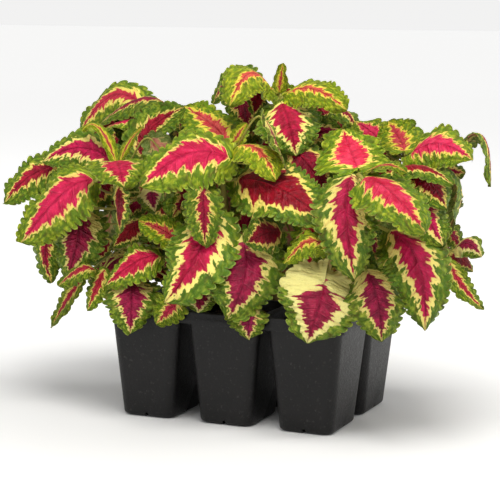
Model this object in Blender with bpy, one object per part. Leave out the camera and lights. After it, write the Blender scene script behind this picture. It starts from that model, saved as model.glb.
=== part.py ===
# Six-cell bedding pack of coleus: thin formed tray, six soil plugs, six stems and
# forty-seven pieces of foliage.  Metres, +Z up, the tray stands on z = 0.
import math
import random

import bmesh
import bpy
import numpy as np
from mathutils import Vector
from mathutils.bvhtree import BVHTree

for ob in list(bpy.data.objects):
    bpy.data.objects.remove(ob, do_unlink=True)

# ------------------------------------------------------------------ dimensions
MM = 0.001
PITCH_X, PITCH_Y = 58.0, 65.0          # cell to cell, 3 along X and 2 along Y
CELL_TOP = (26.8, 31.5)                # half widths of a cell at the rim
CELL_BOTTOM = (19.3, 25.5)             # half widths of a cell at the floor
CELL_CORNER = 6.8
PACK_H = 78.0
WALL = 0.8
RIM_OVER = 1.5                         # rim plate beyond the outer cells
SKIRT = 8.6                            # rim skirt turned down
FOOT_R = 3.0                           # bottom edge of a cell
SOIL_TOP = 72.0
SOIL_GAP = 0.3
SOCKET_DEPTH = 12.0
STEM_R0, STEM_R1 = 3.3, 1.5
BLADE_T = 1.0                          # leaf blade
CLEAR = 0.3                            # between any two pieces
SEED = 41

# ------------------------------------------------------------------ sight lines
# The foliage is laid out from one viewing station in front of the tray: (u, v) is a
# direction from the station (500 units across the field, v downwards) and y is the
# distance behind the middle of the tray, in mm.
VIEW_AZ, VIEW_EL, VIEW_ROLL = 22.08, 7.87, 0.72
VIEW_DIST, VIEW_F = 1255.75, 1791.2
VIEW_TX, VIEW_TZ = -5.5, 113.04


def station():
    a, e, r = (math.radians(k) for k in (VIEW_AZ, VIEW_EL, VIEW_ROLL))
    back = np.array([math.sin(a) * math.cos(e), -math.cos(a) * math.cos(e), math.sin(e)])
    right = np.array([math.cos(a), math.sin(a), 0.0])
    up = np.cross(back, right)
    r2 = right * math.cos(r) + up * math.sin(r)
    u2 = -right * math.sin(r) + up * math.cos(r)
    target = right * VIEW_TX + np.array([0.0, 0.0, VIEW_TZ])
    return target + back * VIEW_DIST, r2, u2, back


EYE, EYE_R, EYE_U, EYE_B = station()


def at(u, v, y):
    d = EYE_R * ((u - 250.0) / VIEW_F) - EYE_U * ((v - 250.0) / VIEW_F) - EYE_B
    return EYE + d * ((y - EYE[1]) / d[1])


def face(r, u, t):
    n = EYE_R * r + EYE_U * u + EYE_B * t
    return n / np.linalg.norm(n)


def unit(v):
    return v / max(1e-9, float(np.linalg.norm(v)))


# ------------------------------------------------------------------ plants
# stem: cell column, cell row, bend (u, v, y), crown (u, v, y)
STEMS = [
    (-1, -1, (124, 222, -36), (117, 166, -38)),
    (0, -1, (224, 206, -36), (231, 148, -36)),
    (1, -1, (334, 232, -40), (359, 174, -44)),
    (-1, 1, (168, 190, 34), (163, 113, 26)),
    (0, 1, (276, 190, 34), (281, 96, 22)),
    (1, 1, (392, 232, 22), (405, 154, 6)),
]
# drooping side shoot on the right-hand back plant
SHOOT = ((430, 232, 0), (446, 256, -10))


def cell_centre(i, j):
    return np.array([i * PITCH_X, j * PITCH_Y / 2.0, 0.0])


def bend(p0, pm, p1, s):
    q = 2.0 * pm - 0.5 * (p0 + p1)
    return (1 - s) ** 2 * p0 + 2 * s * (1 - s) * q + s * s * p1


def stem_point(k, h):
    if k == 6:
        a = stem_point(5, 0.34)
        return bend(a, at(*SHOOT[0]), at(*SHOOT[1]), h)
    i, j, m, c = STEMS[k]
    foot = cell_centre(i, j) + np.array([0, 0, SOIL_TOP - SOCKET_DEPTH + 1.0])
    return bend(foot, at(*m), at(*c), h)


def stem_radius(k, h):
    if k == 6:
        return 1.7 - 0.5 * h
    return STEM_R0 + (STEM_R1 - STEM_R0) * h


# A blade: base, middle and tip of the midrib, full width, side it faces, fold (deg,
# + is a V open to the face side), twist (deg), heart sweep of the base, style.
def seen(b, m, t, w, f, fold=-8, twist=0, sweep=0.14, style="mid"):
    return dict(kind="seen", b=b, m=m, t=t, w=w, f=f, fold=fold, twist=twist, sweep=sweep, style=style)


# The same for sides the station does not see: compass angle, reach and rise of the
# base from the stem, length, drop of the tip below the base, width.
def far(az, r0, z0, length, drop, w, fold=-10, style="mid"):
    return dict(kind="far", az=az, r0=r0, z0=z0, length=length, drop=drop, w=w, fold=fold,
                twist=0, sweep=0.14, style=style)


# name, stem, height on the stem, points across the blade, blades
FOLIAGE = [
    ("leaf_01", 0, 0.86, 5, [seen((91, 180, -54), (63, 193, -68), (21, 243, -72), 45, (-.15, .40, .9), -10, 0, .12, "bright")]),
    ("leaf_02", 1, 0.90, 5, [seen((226, 156, -46), (186, 154, -62), (141, 187, -72), 48, (-.10, .55, .82), -8, 0, .16, "bright"),
                             seen((238, 146, -46), (259, 150, -58), (276, 180, -66), 28, (.2, .45, .85), -14, 0, .12, "lime")]),
    ("leaf_03", 1, 0.66, 5, [seen((243, 178, -42), (284, 190, -64), (328, 225, -74), 44, (.0, .35, .93), -6, 0, .16, "dark"),
                             seen((203, 206, -42), (195, 213, -48), (190, 228, -50), 15, (-.1, .5, .85), -18, 0, .10, "small")]),
    ("leaf_04", 2, 0.90, 5, [seen((350, 178, -56), (346, 218, -82), (355, 280, -90), 42, (-.05, .28, .95), -12, 0, .18, "crimson"),
                             seen((357, 166, -40), (351, 150, -26), (343, 129, -8), 48, (.0, .62, .78), -6, 0, .16, "pink")]),
    ("leaf_05", 2, 0.95, 5, [seen((366, 178, -66), (392, 192, -86), (425, 232, -102), 40, (.12, .50, .86), -10, 0, .10, "pink")]),
    ("leaf_06", 1, 0.42, 5, [seen((208, 214, -64), (196, 256, -90), (164, 303, -100), 48, (-.20, .28, .94), -12, 0, .16, "crimson")]),
    ("leaf_07", 1, 0.34, 5, [seen((244, 245, -72), (243, 280, -90), (228, 318, -92), 52, (.0, .16, .98), -10, 0, .30, "old")]),
    ("leaf_08", 2, 0.32, 5, [seen((325, 280, -78), (317, 310, -90), (307, 343, -90), 54, (-.05, .12, .99), -6, 0, .32, "cream")]),
    ("leaf_09", 2, 0.38, 5, [seen((369, 274, -70), (378, 304, -80), (382, 342, -82), 39, (.0, .15, .98), -12, 0, .18, "old")]),
    ("leaf_10", 2, 0.62, 5, [seen((394, 232, -52), (419, 266, -72), (425, 331, -76), 42, (-.05, .25, .96), -16, 0, .16, "crimson"),
                             seen((326, 249, -70), (308, 241, -80), (284, 264, -84), 20, (-.1, .50, .86), -16, 0, .12, "lime")]),
    ("leaf_11", 4, 0.90, 5, [seen((282, 104, 2), (290, 124, -14), (296, 156, -20), 46, (.0, .40, .92), -10, 0, .20, "crimson"),
                             far(95, 14, 4, 50, 12, 36)]),
    ("leaf_12", 0, 0.93, 5, [seen((117, 161, -50), (120, 170, -66), (124, 187, -76), 40, (.0, .78, .62), 8, 0, .12, "bright"),
                             far(130, 14, 2, 42, 10, 30)]),
    ("leaf_13", 5, 0.92, 5, [seen((413, 152, -6), (440, 143, -14), (473, 160, -16), 37, (.05, .50, .86), -8, 0, .16, "pink"),
                             seen((382, 142, 12), (370, 130, 20), (354, 121, 26), 28, (.0, .45, .88), -6, 0, .14, "pink")]),
    ("leaf_14", 4, 0.95, 3, [seen((274, 91, 16), (250, 73, 6), (230, 106, -2), 33, (.0, .55, .83), -12, 0, .14, "lime"),
                             seen((288, 93, 14), (315, 89, 4), (347, 110, -4), 27, (.0, .50, .86), -8, 0, .12, "lime")]),
    ("leaf_15", 0, 0.90, 3, [seen((111, 162, -36), (80, 147, -36), (42, 162, -42), 33, (.0, .48, .87), -10, 0, .14, "crimson"),
                             seen((141, 154, -26), (149, 130, -20), (184, 107, -10), 30, (-.2, .35, .9), 14, 0, .12, "mid")]),
    ("leaf_16", 1, 0.95, 3, [seen((229, 143, -36), (209, 122, -28), (184, 106, -18), 36, (.15, .45, .87), 6, 0, .14, "yellow"),
                             far(105, 18, 2, 38, 8, 28)]),
    ("leaf_17", 3, 0.92, 3, [seen((140, 104, 34), (110, 96, 32), (78, 136, 26), 34, (-.35, .60, .72), -10, 0, .16, "small"),
                             far(62, 14, 4, 46, 12, 34)]),
    ("leaf_18", 5, 0.96, 3, [seen((404, 150, 4), (399, 137, 10), (388, 121, 16), 34, (.0, .35, .93), 4, 0, .14, "yellow"),
                             far(70, 12, 4, 42, 14, 32)]),
    ("leaf_19", 0, 0.97, 3, [seen((115, 160, -42), (98, 127, -40), (82, 131, -44), 10, (.2, .75, .6), 10, 0, .04, "young"),
                             seen((121, 160, -40), (130, 141, -38), (143, 127, -40), 8, (-.3, .6, .7), 10, 0, .04, "young")]),
    ("leaf_20", 1, 0.985, 3, [seen((233, 143, -40), (240, 132, -40), (247, 123, -38), 10, (.0, .5, .86), 10, 0, .04, "young")]),
    ("leaf_21", 2, 0.975, 3, [seen((357, 171, -50), (347, 173, -60), (337, 185, -66), 12, (.0, .7, .7), 10, 0, .04, "young"),
                              seen((366, 172, -50), (387, 165, -62), (407, 173, -68), 14, (.0, .8, .6), 6, 0, .06, "yellow")]),
    ("leaf_22", 4, 0.985, 3, [seen((279, 92, 20), (281, 78, 20), (283, 63, 20), 12, (-.5, .2, .8), 14, 0, .04, "young"),
                              seen((270, 97, 8), (252, 90, -2), (238, 106, -8), 12, (.0, .7, .7), 10, 0, .04, "young")]),
    ("leaf_23", 0, 0.60, 3, [seen((80, 213, -44), (77, 240, -56), (67, 280, -58), 38, (-.1, .18, .97), -10, 0, .22, "old"),
                             seen((152, 188, -44), (152, 198, -52), (155, 212, -56), 20, (.0, .4, .9), -14, 0, .16, "cream")]),
    ("leaf_24", 0, 0.70, 3, [seen((62, 166, -28), (32, 174, -36), (4, 203, -38), 32, (-.1, .45, .88), -8, 0, .14, "mid"),
                             seen((160, 197, -20), (170, 209, -26), (176, 228, -28), 22, (.1, .3, .95), -10, 0, .14, "dark")]),
    ("leaf_25", 0, 0.50, 3, [seen((58, 224, -26), (45, 248, -30), (52, 283, -30), 24, (-.25, .25, .9), -10, 0, .10, "mid"),
                             seen((141, 221, -46), (128, 232, -52), (113, 247, -56), 17, (.0, .4, .9), -12, 0, .08, "dark")]),
    ("leaf_26", 0, 0.40, 3, [seen((95, 270, -50), (80, 269, -58), (58, 286, -60), 18, (.0, .75, .66), -8, 0, .10, "small"),
                             far(75, 12, 0, 30, 16, 22)]),
    ("leaf_27", 0, 0.36, 3, [seen((82, 279, -40), (69, 297, -44), (51, 328, -44), 14, (-.6, .2, .7), 20, 60, .06, "small"),
                             seen((110, 213, -30), (106, 226, -34), (97, 242, -34), 24, (.1, .1, -1.), -10, 0, .10, "mid")]),
    ("leaf_28", 0, 0.32, 3, [seen((104, 270, -56), (96, 288, -62), (87, 311, -62), 17, (-.3, .2, .9), -16, 20, .08, "small")]),
    ("leaf_29", 0, 0.24, 3, [seen((131, 281, -66), (131, 304, -78), (130, 334, -78), 38, (.0, .14, .98), -12, 0, .26, "old")]),
    ("leaf_30", 0, 0.28, 3, [seen((158, 256, -64), (135, 262, -74), (105, 286, -78), 28, (.0, .55, .83), -10, 0, .12, "bright")]),
    ("leaf_31", 0, 0.34, 3, [seen((181, 243, -56), (160, 229, -62), (138, 221, -64), 22, (.0, .4, .9), 8, 0, .12, "yellow"),
                             seen((178, 299, -68), (169, 310, -72), (156, 324, -74), 22, (.1, .1, .98), -10, 0, .12, "small")]),
    ("leaf_32", 1, 0.22, 3, [seen((245, 306, -72), (248, 320, -78), (249, 340, -78), 27, (.0, .12, .98), -12, 0, .22, "old"),
                             seen((196, 291, -70), (199, 301, -76), (198, 313, -78), 24, (.0, .12, .98), -10, 0, .20, "cream")]),
    ("leaf_33", 4, 0.80, 3, [seen((248, 96, 38), (230, 80, 44), (213, 104, 44), 30, (-.1, .30, .95), -8, 0, .16, "mid"),
                             seen((316, 122, 34), (341, 109, 30), (358, 134, 26), 27, (.2, .88, .42), -14, 0, .12, "mid")]),
    ("leaf_34", 4, 0.66, 3, [seen((293, 150, -22), (312, 168, -36), (333, 201, -44), 33, (-.1, .45, .88), -10, 0, .16, "dark"),
                             far(150, 14, 6, 42, 14, 34)]),
    ("leaf_35", 2, 0.84, 3, [seen((387, 172, -36), (420, 166, -44), (453, 185, -50), 25, (.0, .85, .5), -14, 0, .12, "mid"),
                             far(160, 12, 2, 34, 16, 26)]),
    ("leaf_36", 5, 0.84, 3, [seen((412, 172, -34), (430, 182, -44), (447, 209, -50), 28, (.35, .35, .87), -10, 0, .14, "dark"),
                             far(100, 16, 2, 46, 22, 36)]),
    ("leaf_37", 5, 0.74, 3, [seen((440, 173, 0), (462, 192, -4), (442, 246, -14), 32, (.97, .15, -.2), -14, 0, .14, "mid")]),
    ("leaf_38", 5, 0.62, 3, [seen((416, 194, -32), (427, 215, -44), (443, 246, -48), 30, (.0, .3, .95), -10, 0, .14, "crimson"),
                             far(120, 14, 0, 44, 26, 36)]),
    ("leaf_39", 5, 0.80, 3, [seen((458, 147, 16), (484, 136, 14), (491, 187, 8), 18, (.75, .6, .2), -14, 0, .10, "mid"),
                             far(55, 16, 6, 46, 16, 36)]),
    ("leaf_40", 6, 0.93, 3, [seen((441, 262, -16), (443, 275, -18), (446, 294, -20), 12, (-.1, .2, .97), -10, 0, .08, "young"),
                             seen((454, 250, -10), (468, 243, -10), (482, 257, -10), 22, (.2, .55, .8), -10, 0, .10, "cream")]),
    ("leaf_41", 6, 0.80, 3, [seen((450, 263, -20), (461, 284, -26), (484, 310, -26), 15, (.35, .3, .88), 10, 0, .08, "small"),
                             seen((452, 259, 2), (463, 258, 6), (473, 272, 8), 18, (.2, .6, .75), -10, 0, .10, "dark")]),
    ("leaf_42", 3, 0.84, 3, [seen((166, 104, 20), (138, 99, 8), (100, 124, 0), 26, (.1, .90, .38), -10, 0, .12, "mid"),
                             seen((172, 118, 18), (190, 118, 14), (209, 134, 10), 22, (.1, .6, .8), -8, 0, .12, "dark")]),
    ("leaf_43", 3, 0.76, 3, [seen((147, 121, 2), (128, 119, -4), (103, 130, -12), 22, (.0, .95, .3), -8, 0, .12, "bright"),
                             far(110, 14, 4, 48, 22, 38)]),
    ("leaf_44", 3, 0.55, 3, [far(185, 18, 4, 50, 30, 38), far(75, 14, 2, 46, 28, 38)]),
    ("leaf_45", 4, 0.50, 3, [far(70, 22, 4, 52, 34, 40), far(118, 22, 4, 50, 36, 38)]),
    ("leaf_46", 5, 0.44, 3, [far(85, 20, 2, 48, 34, 38), far(20, 20, 0, 44, 28, 34)]),
    ("leaf_47", 3, 0.36, 3, [far(130, 22, 0, 44, 34, 36), far(200, 20, -2, 38, 26, 30)]),
]


# ------------------------------------------------------------------ blade surface
def outline(s):
    """Half width of the blade, 0..1, from base (s=0) to tip (s=1)."""
    return np.sin(np.pi * np.clip(s, 0, 1) ** 0.69) ** 0.64


class Blade:
    def __init__(self, b, m, t, n0, w, fold, twist, sweep):
        k = np.linspace(0.0, 1.0, 25)
        q = k[:, None]
        mid = 2.0 * m - 0.5 * (b + t)
        pts = (1 - q) ** 2 * b + 2 * q * (1 - q) * mid + q * q * t
        seg = np.sqrt((np.diff(pts, axis=0) ** 2).sum(1))
        arc = np.concatenate([[0.0], np.cumsum(seg)])
        self.length = float(arc[-1])
        self.k = k
        u = np.interp(k, arc / arc[-1], k)[:, None]
        c = (1 - u) ** 2 * b + 2 * u * (1 - u) * mid + u * u * t
        tan = (1 - u) * (mid - b) + u * (t - mid)
        tan = tan / np.sqrt((tan ** 2).sum(1))[:, None]
        tm = tan[12]
        n = unit(n0 - tm * float(n0 @ tm))
        flat = np.cross(b - mid, t - mid)
        flat = unit(flat) if np.linalg.norm(flat) > 1e-3 else n
        side = np.cross(flat, tan)
        nn = flat * float(n @ flat) + side * float(n @ side[12])
        nn = nn / np.sqrt((nn ** 2).sum(1))[:, None]
        tw = np.radians(twist) * (k - 0.5)
        cross = np.cross(tan, nn)
        nn = nn * np.cos(tw)[:, None] + cross * np.sin(tw)[:, None]
        self.table = np.concatenate([c, tan, nn, np.cross(tan, nn)], axis=1)
        self.w, self.fold, self.sweep = w / 2.0, math.radians(fold), sweep

    def frame(self, s):
        """Midrib point, tangent, normal and side direction at s (arrays work)."""
        s = np.asarray(s, float)
        q = np.clip(s, 0, 1) * 24.0
        i = np.minimum(q.astype(int), 23)
        g = (q - i)[..., None]
        r = self.table[i] * (1 - g) + self.table[i + 1] * g
        c, t, n, a = r[..., 0:3], r[..., 3:6], r[..., 6:9], r[..., 9:12]
        c = c + t * (np.minimum(s, 0) * self.length)[..., None]
        return c, t, n, a

    def surface(self, s, x):
        """Point and normal at length fraction s and side fraction x (-1..1)."""
        s, x = np.broadcast_arrays(np.asarray(s, float), np.asarray(x, float))
        hw = self.w * np.maximum(outline(s), 0.02)
        e = s - self.sweep * np.abs(x) ** 1.4 * (1 - np.clip(s, 0, 1)) ** 2
        c, t, n, a = self.frame(e)
        b = hw * x
        cf, sf = math.cos(self.fold), math.sin(self.fold)
        arch = 0.10 * self.w * (b / self.w) ** 2
        p = c + a * (b * cf)[..., None] + n * (np.abs(b) * sf - arch)[..., None]
        nn = n * cf - a * (np.sign(x) * sf)[..., None]
        return p, nn / np.linalg.norm(nn, axis=-1)[..., None]


def stalk(p0, d0, p3, d3, n):
    k = 0.36 * float(np.linalg.norm(p3 - p0))
    p1, p2 = p0 + d0 * k, p3 - d3 * k
    s = np.linspace(0, 1, n)[:, None]
    c = (1 - s) ** 3 * p0 + 3 * s * (1 - s) ** 2 * p1 + 3 * s * s * (1 - s) * p2 + s ** 3 * p3
    t = 3 * (1 - s) ** 2 * (p1 - p0) + 6 * s * (1 - s) * (p2 - p1) + 3 * s * s * (p3 - p2)
    return c, t / np.linalg.norm(t, axis=1)[:, None]


def roll_frames(t, n_end):
    """Normals along a stalk, carried back from its end and eased to face upwards."""
    n = np.zeros_like(t)
    n[-1] = unit(n_end - t[-1] * float(n_end @ t[-1]))
    for i in range(len(t) - 2, -1, -1):
        n[i] = unit(n[i + 1] - t[i] * float(n[i + 1] @ t[i]))
    up = unit(np.array([0, 0, 1.0]) - t[0] * t[0][2])
    side = np.cross(t[0], n[0])
    ang = math.atan2(float(up @ side), float(up @ n[0]))
    for i in range(len(t)):
        f = ang * (1 - i / (len(t) - 1.0))
        s = np.cross(t[i], n[i])
        n[i] = n[i] * math.cos(f) + s * math.sin(f)
    return n


def place_points(spec, k, h, j):
    """Midrib points and facing of a blade with the shift j (four numbers, mm)."""
    if spec["kind"] == "seen":
        b, m, t = spec["b"], spec["m"], spec["t"]
        return (at(b[0], b[1], b[2] + j[0]), at(m[0], m[1], m[2] + j[0] + 0.5 * j[1]),
                at(t[0], t[1], t[2] + j[0] + j[1]), face(*spec["f"]))
    c = stem_point(k, h)
    az = math.radians(spec["az"] + 0.9 * j[0])
    d = np.array([math.cos(az), math.sin(az), 0.0])
    up = np.array([0.0, 0.0, 1.0])
    b = c + d * (spec["r0"] + 0.3 * abs(j[1])) + up * (spec["z0"] + 0.5 * j[2])
    ln = spec["length"]
    m = b + d * ln * 0.48 + up * (0.04 * ln - 0.12 * spec["drop"] + 0.3 * j[3])
    t = b + d * ln * 0.86 - up * (spec["drop"] - 0.6 * j[3])
    return b, m, t, unit(up * 0.8 + d * 0.55)


ROWS_5 = (0.0, 0.06, 0.18, 0.34, 0.52, 0.70, 0.87, 1.0)
ROWS_3 = (0.0, 0.10, 0.32, 0.58, 0.82, 1.0)
LENS = {5: (0.40, 0.80, 1.0, 0.80, 0.40), 3: (0.45, 1.0, 0.45)}


def leaf_rows(blade, s0, d0, across, grow):
    """Sheet of points, normals and half thicknesses from the stem out to the tip."""
    rows = np.array((ROWS_5 if across == 5 else ROWS_3)[1:-1])
    x = np.linspace(-1, 1, across)
    lens = np.array(LENS[across])
    b0, t0, n0, a0 = blade.frame(0.0)
    nst = 4 if float(np.linalg.norm(b0 - s0)) > 22 else 3
    c, t = stalk(s0, d0, b0, t0, nst)
    n = roll_frames(t, n0)
    pr = min(1.35, max(0.75, blade.w * 0.07))
    P1 = c[:, None, :] + np.cross(t, n)[:, None, :] * (x * (pr + grow))[None, :, None]
    N1 = np.repeat(n[:, None, :], across, 1)
    T1 = np.repeat((lens * (pr * 0.95) + grow)[None], nst, 0)
    P2, N2 = blade.surface(rows[:, None], x[None, :])
    if grow:
        P2 = P2 + blade.frame(rows)[3][:, None, :] * (x * grow)[None, :, None]
    thick = BLADE_T * np.where(rows <= 0.12, 1.3, 1.0)
    T2 = lens[None] * thick[:, None] / 2 + grow
    cc, tt, nn, aa = blade.frame(1.0)
    P3 = (cc + aa * (x * (0.6 + grow))[:, None] + tt * grow)[None]
    N3 = np.repeat(nn[None], across, 0)[None]
    T3 = (lens * BLADE_T * 0.4 + grow)[None]
    return (np.concatenate([P1, P2, P3]), np.concatenate([N1, N2, N3]), np.concatenate([T1, T2, T3]))


def shell(P, N, T):
    """Closed body of quads round a sheet."""
    r, a = P.shape[:2]
    top, low = P + N * T[..., None], P - N * T[..., None]
    ring = np.concatenate([top, low[:, ::-1]], axis=1)
    m = 2 * a
    v = ring.reshape(-1, 3)
    f = []
    for i in range(r - 1):
        for q in range(m):
            # both faces of the sheet are split along the same diagonal
            w = (q + 1) % m
            p0, p1, p2, p3 = i * m + q, i * m + w, (i + 1) * m + w, (i + 1) * m + q
            if q < a:
                f += [(p0, p1, p2), (p0, p2, p3)]
            else:
                f += [(p0, p1, p3), (p1, p2, p3)]
    for end in (0, r - 1):
        for q in range(a - 1):
            f.append((end * m + q, end * m + q + 1, end * m + m - 2 - q, end * m + m - 1 - q))
    return v, f


class Placed:
    def __init__(self, name, v, f):
        self.name = name
        self.lo, self.hi = v.min(0), v.max(0)
        self.v, self.f = v, f
        self.tree = BVHTree.FromPolygons([tuple(p) for p in v], [tuple(q) for q in f])

    def hits(self, other):
        if np.any(self.lo > other.hi) or np.any(self.hi < other.lo):
            return 0
        return len(self.tree.overlap(other.tree))

    def folds_on_itself(self):
        n = 0
        for i, k in self.tree.overlap(self.tree):
            if i < k and not set(self.f[i]) & set(self.f[k]):
                n += 1
        return n


def tube(centre, radius, sides=8, square=0.07):
    """Closed tube; stems of the mint family are four-cornered."""
    n = len(centre)
    c = np.array(centre)
    t = np.gradient(c, axis=0)
    t /= np.linalg.norm(t, axis=1)[:, None]
    ref = np.array([1.0, 0.0, 0.0])
    v, f = [], []
    for i in range(n):
        ref = unit(ref - t[i] * float(ref @ t[i]))
        o = np.cross(t[i], ref)
        for q in range(sides):
            g = 2 * math.pi * q / sides
            rr = radius[i] * (1 + square * math.cos(4 * g))
            v.append(c[i] + ref * rr * math.cos(g) + o * rr * math.sin(g))
    for i in range(n - 1):
        for q in range(sides):
            w = (q + 1) % sides
            f.append((i * sides + q, i * sides + w, (i + 1) * sides + w, (i + 1) * sides + q))
    v += [c[0], c[-1]]
    for q in range(sides):
        w = (q + 1) % sides
        f.append((q, w, n * sides))
        f.append(((n - 1) * sides + w, (n - 1) * sides + q, n * sides + 1))
    return np.array(v), f


def stem_meshes():
    out = []
    for k in range(6):
        hs = np.linspace(0, 1, 9)
        out.append(tube([stem_point(k, h) for h in hs], [stem_radius(k, h) for h in hs]))
    hs = np.linspace(0, 1, 6)
    out.append(tube([stem_point(6, h) for h in hs], [stem_radius(6, h) for h in hs], 8))
    return out


def stem_dir(k, h):
    return unit(stem_point(k, min(1.0, h + 0.02)) - stem_point(k, h - 0.02))


# ------------------------------------------------------------------ settling
# Every blade starts where the table puts it.  One that would touch a piece already
# in place is moved along its own sight line until there is room.
def settle(fixed):
    rng = random.Random(SEED)
    placed = list(fixed)
    result, troubled = [], []
    for name, k, h0, across, specs in FOLIAGE:
        best = None
        chosen = []
        pair = len(specs) == 2
        for side, spec in enumerate(specs):
            found = None
            least = 10 ** 9
            order, why = list(placed), {}
            for trial in range(420):
                amp = 0.0 if trial == 0 else 2.0 + 0.11 * trial
                j = [rng.uniform(-1, 1) * amp for _ in range(4)]
                h = h0 if (side or trial == 0) else min(0.99, max(0.18, h0 + rng.uniform(-1, 1) * min(0.06, amp * 0.003)))
                if side:
                    h = chosen[0][1]
                b, m, t, n0 = place_points(spec, k, h, j)
                shrink = 1.0 if trial < 200 else 0.85
                blade = Blade(b, m, t, n0, spec["w"] * shrink, spec["fold"], spec["twist"], spec["sweep"])
                c0, ax, r = stem_point(k, h), stem_dir(k, h), stem_radius(k, h)
                if not side:
                    go = unit((b - c0) - ax * float((b - c0) @ ax))
                    if pair:
                        b2 = place_points(specs[1], k, h, [0, 0, 0, 0])[0]
                        d = unit((b - c0) - (b2 - c0))
                        d = unit(d - ax * float(d @ ax))
                        off = np.cross(ax, d)
                        lean = (b - c0) + (b2 - c0)
                        off = off if float(lean @ off) > 0 else -off
                        s0 = c0 + off * (r * 1.08 + 1.35 + CLEAR + 0.25)
                        d0 = d
                    else:
                        s0 = c0 + go * (r * 1.08 + CLEAR + 0.45)
                        d0 = unit(go + ax * 0.3)
                else:
                    s0, d0 = chosen[0][2], -chosen[0][3]
                wob = np.array([rng.uniform(-1, 1) for _ in range(3)]) * min(0.6, amp * 0.03)
                d1 = unit(d0 + wob) if (not pair) else d0
                P, N, T = leaf_rows(blade, s0, d1, across, CLEAR * 0.75)
                body = Placed(name, *shell(P, N, T))
                touch = next((o for o in order if body.hits(o)), None)
                if touch:
                    why[touch.name] = why.get(touch.name, 0) + 1
                    order = [touch] + [o for o in order if o is not touch]
                    if not found:
                        least, found = 500, (blade, h, s0, d1, trial)
                    continue
                real = leaf_rows(blade, s0, d1, across, 0.0)
                if side:
                    A = chosen[0][5]
                    P2 = np.concatenate([A[0][::-1][:, ::-1], real[0][1:]])
                    N2 = np.concatenate([A[1][::-1][:, ::-1], real[1][1:]])
                    T2 = np.concatenate([A[2][::-1][:, ::-1], real[2][1:]])
                    whole = Placed(name, *shell(P2, N2, T2))
                else:
                    whole = Placed(name, *shell(*real))
                bad = whole.folds_on_itself()
                if bad:
                    why["fold"] = why.get("fold", 0) + 1
                    if not found:
                        least, found = 500, (blade, h, s0, d1, trial)
                    continue
                least, found = 0, (blade, h, s0, d1, trial, real, whole)
                break
            if least and side:
                # no room for the second leaf of this pair: the node bears one leaf
                troubled.append((name, side, why))
                continue
            if least:
                blade, h, s0, d1, trial = found[:5]
                real = leaf_rows(blade, s0, d1, across, 0.0)
                found = (blade, h, s0, d1, trial, real, Placed(name, *shell(*real)))
                troubled.append((name, side, why))
            chosen.append(found)
        body = chosen[-1][6]
        placed.append(body)
        result.append((name, specs, chosen, body))
    print("foliage not clear:", troubled)
    return result


# ------------------------------------------------------------------ tray
def ring_xy(cx, cy, hx, hy, r, n=3):
    pts = []
    for sx, sy, a0 in ((1, 1, 0), (-1, 1, 90), (-1, -1, 180), (1, -1, 270)):
        for q in range(n + 1):
            g = math.radians(a0 + 90.0 * q / n)
            pts.append((cx + sx * (hx - r) + r * math.cos(g), cy + sy * (hy - r) + r * math.sin(g)))
    return pts


def stack(levels):
    """Closed body from matching rings, bottom to top; levels are (ring, z)."""
    v, f = [], []
    m = len(levels[0][0])
    for ring, z in levels:
        v += [(x, y, z) for x, y in ring]
    for i in range(len(levels) - 1):
        for q in range(m):
            w = (q + 1) % m
            f.append((i * m + q, i * m + w, (i + 1) * m + w, (i + 1) * m + q))
    f.append(tuple(reversed(range(m))))
    f.append(tuple(range((len(levels) - 1) * m, len(levels) * m)))
    return np.array(v, float), f


def cell_half(z, off):
    """Half widths of a cell at height z, drawn in by off."""
    k = z / PACK_H
    return (CELL_BOTTOM[0] + (CELL_TOP[0] - CELL_BOTTOM[0]) * k - off,
            CELL_BOTTOM[1] + (CELL_TOP[1] - CELL_BOTTOM[1]) * k - off)


def cell_body(i, j, off, z0, z1, foot):
    c = cell_centre(i, j)
    lv = []
    a = cell_half(z0, off)
    if foot:
        lv.append((ring_xy(c[0], c[1], a[0] - foot, a[1] - foot, CELL_CORNER - foot * 0.6), z0))
        b = cell_half(z0 + foot * 0.3, off)
        lv.append((ring_xy(c[0], c[1], b[0] - foot * 0.3, b[1] - foot * 0.3, CELL_CORNER - foot * 0.2), z0 + foot * 0.3))
        b = cell_half(z0 + foot, off)
        lv.append((ring_xy(c[0], c[1], b[0], b[1], CELL_CORNER), z0 + foot))
    else:
        lv.append((ring_xy(c[0], c[1], a[0], a[1], CELL_CORNER), z0))
    b = cell_half(min(z1, PACK_H), off)
    lv.append((ring_xy(c[0], c[1], b[0], b[1], CELL_CORNER), z1))
    return stack(lv)


HALF = (PITCH_X + CELL_TOP[0] + RIM_OVER, PITCH_Y / 2 + CELL_TOP[1] + RIM_OVER)


def keep_clear(tubes):
    """What the foliage must keep clear of."""
    fixed = [Placed("stem", *t) for t in tubes]
    fixed.append(Placed("rim", *stack([
        (ring_xy(0, 0, HALF[0] + .4, HALF[1] + .4, 8.0), PACK_H - SKIRT - .4),
        (ring_xy(0, 0, HALF[0] + .4, HALF[1] + .4, 8.0), PACK_H + .4)])))
    for i in (-1, 0, 1):
        for j in (-1, 1):
            fixed.append(Placed("cup", *cell_body(i, j, -0.4, -1.0, PACK_H - 1.0, 0)))
    return fixed


# ------------------------------------------------------------------ pieces
def material(name, colour, rough):
    m = bpy.data.materials.new(name)
    m.use_nodes = True
    b = m.node_tree.nodes["Principled BSDF"]
    b.inputs["Base Color"].default_value = (*colour, 1.0)
    b.inputs["Roughness"].default_value = rough
    return m


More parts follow.
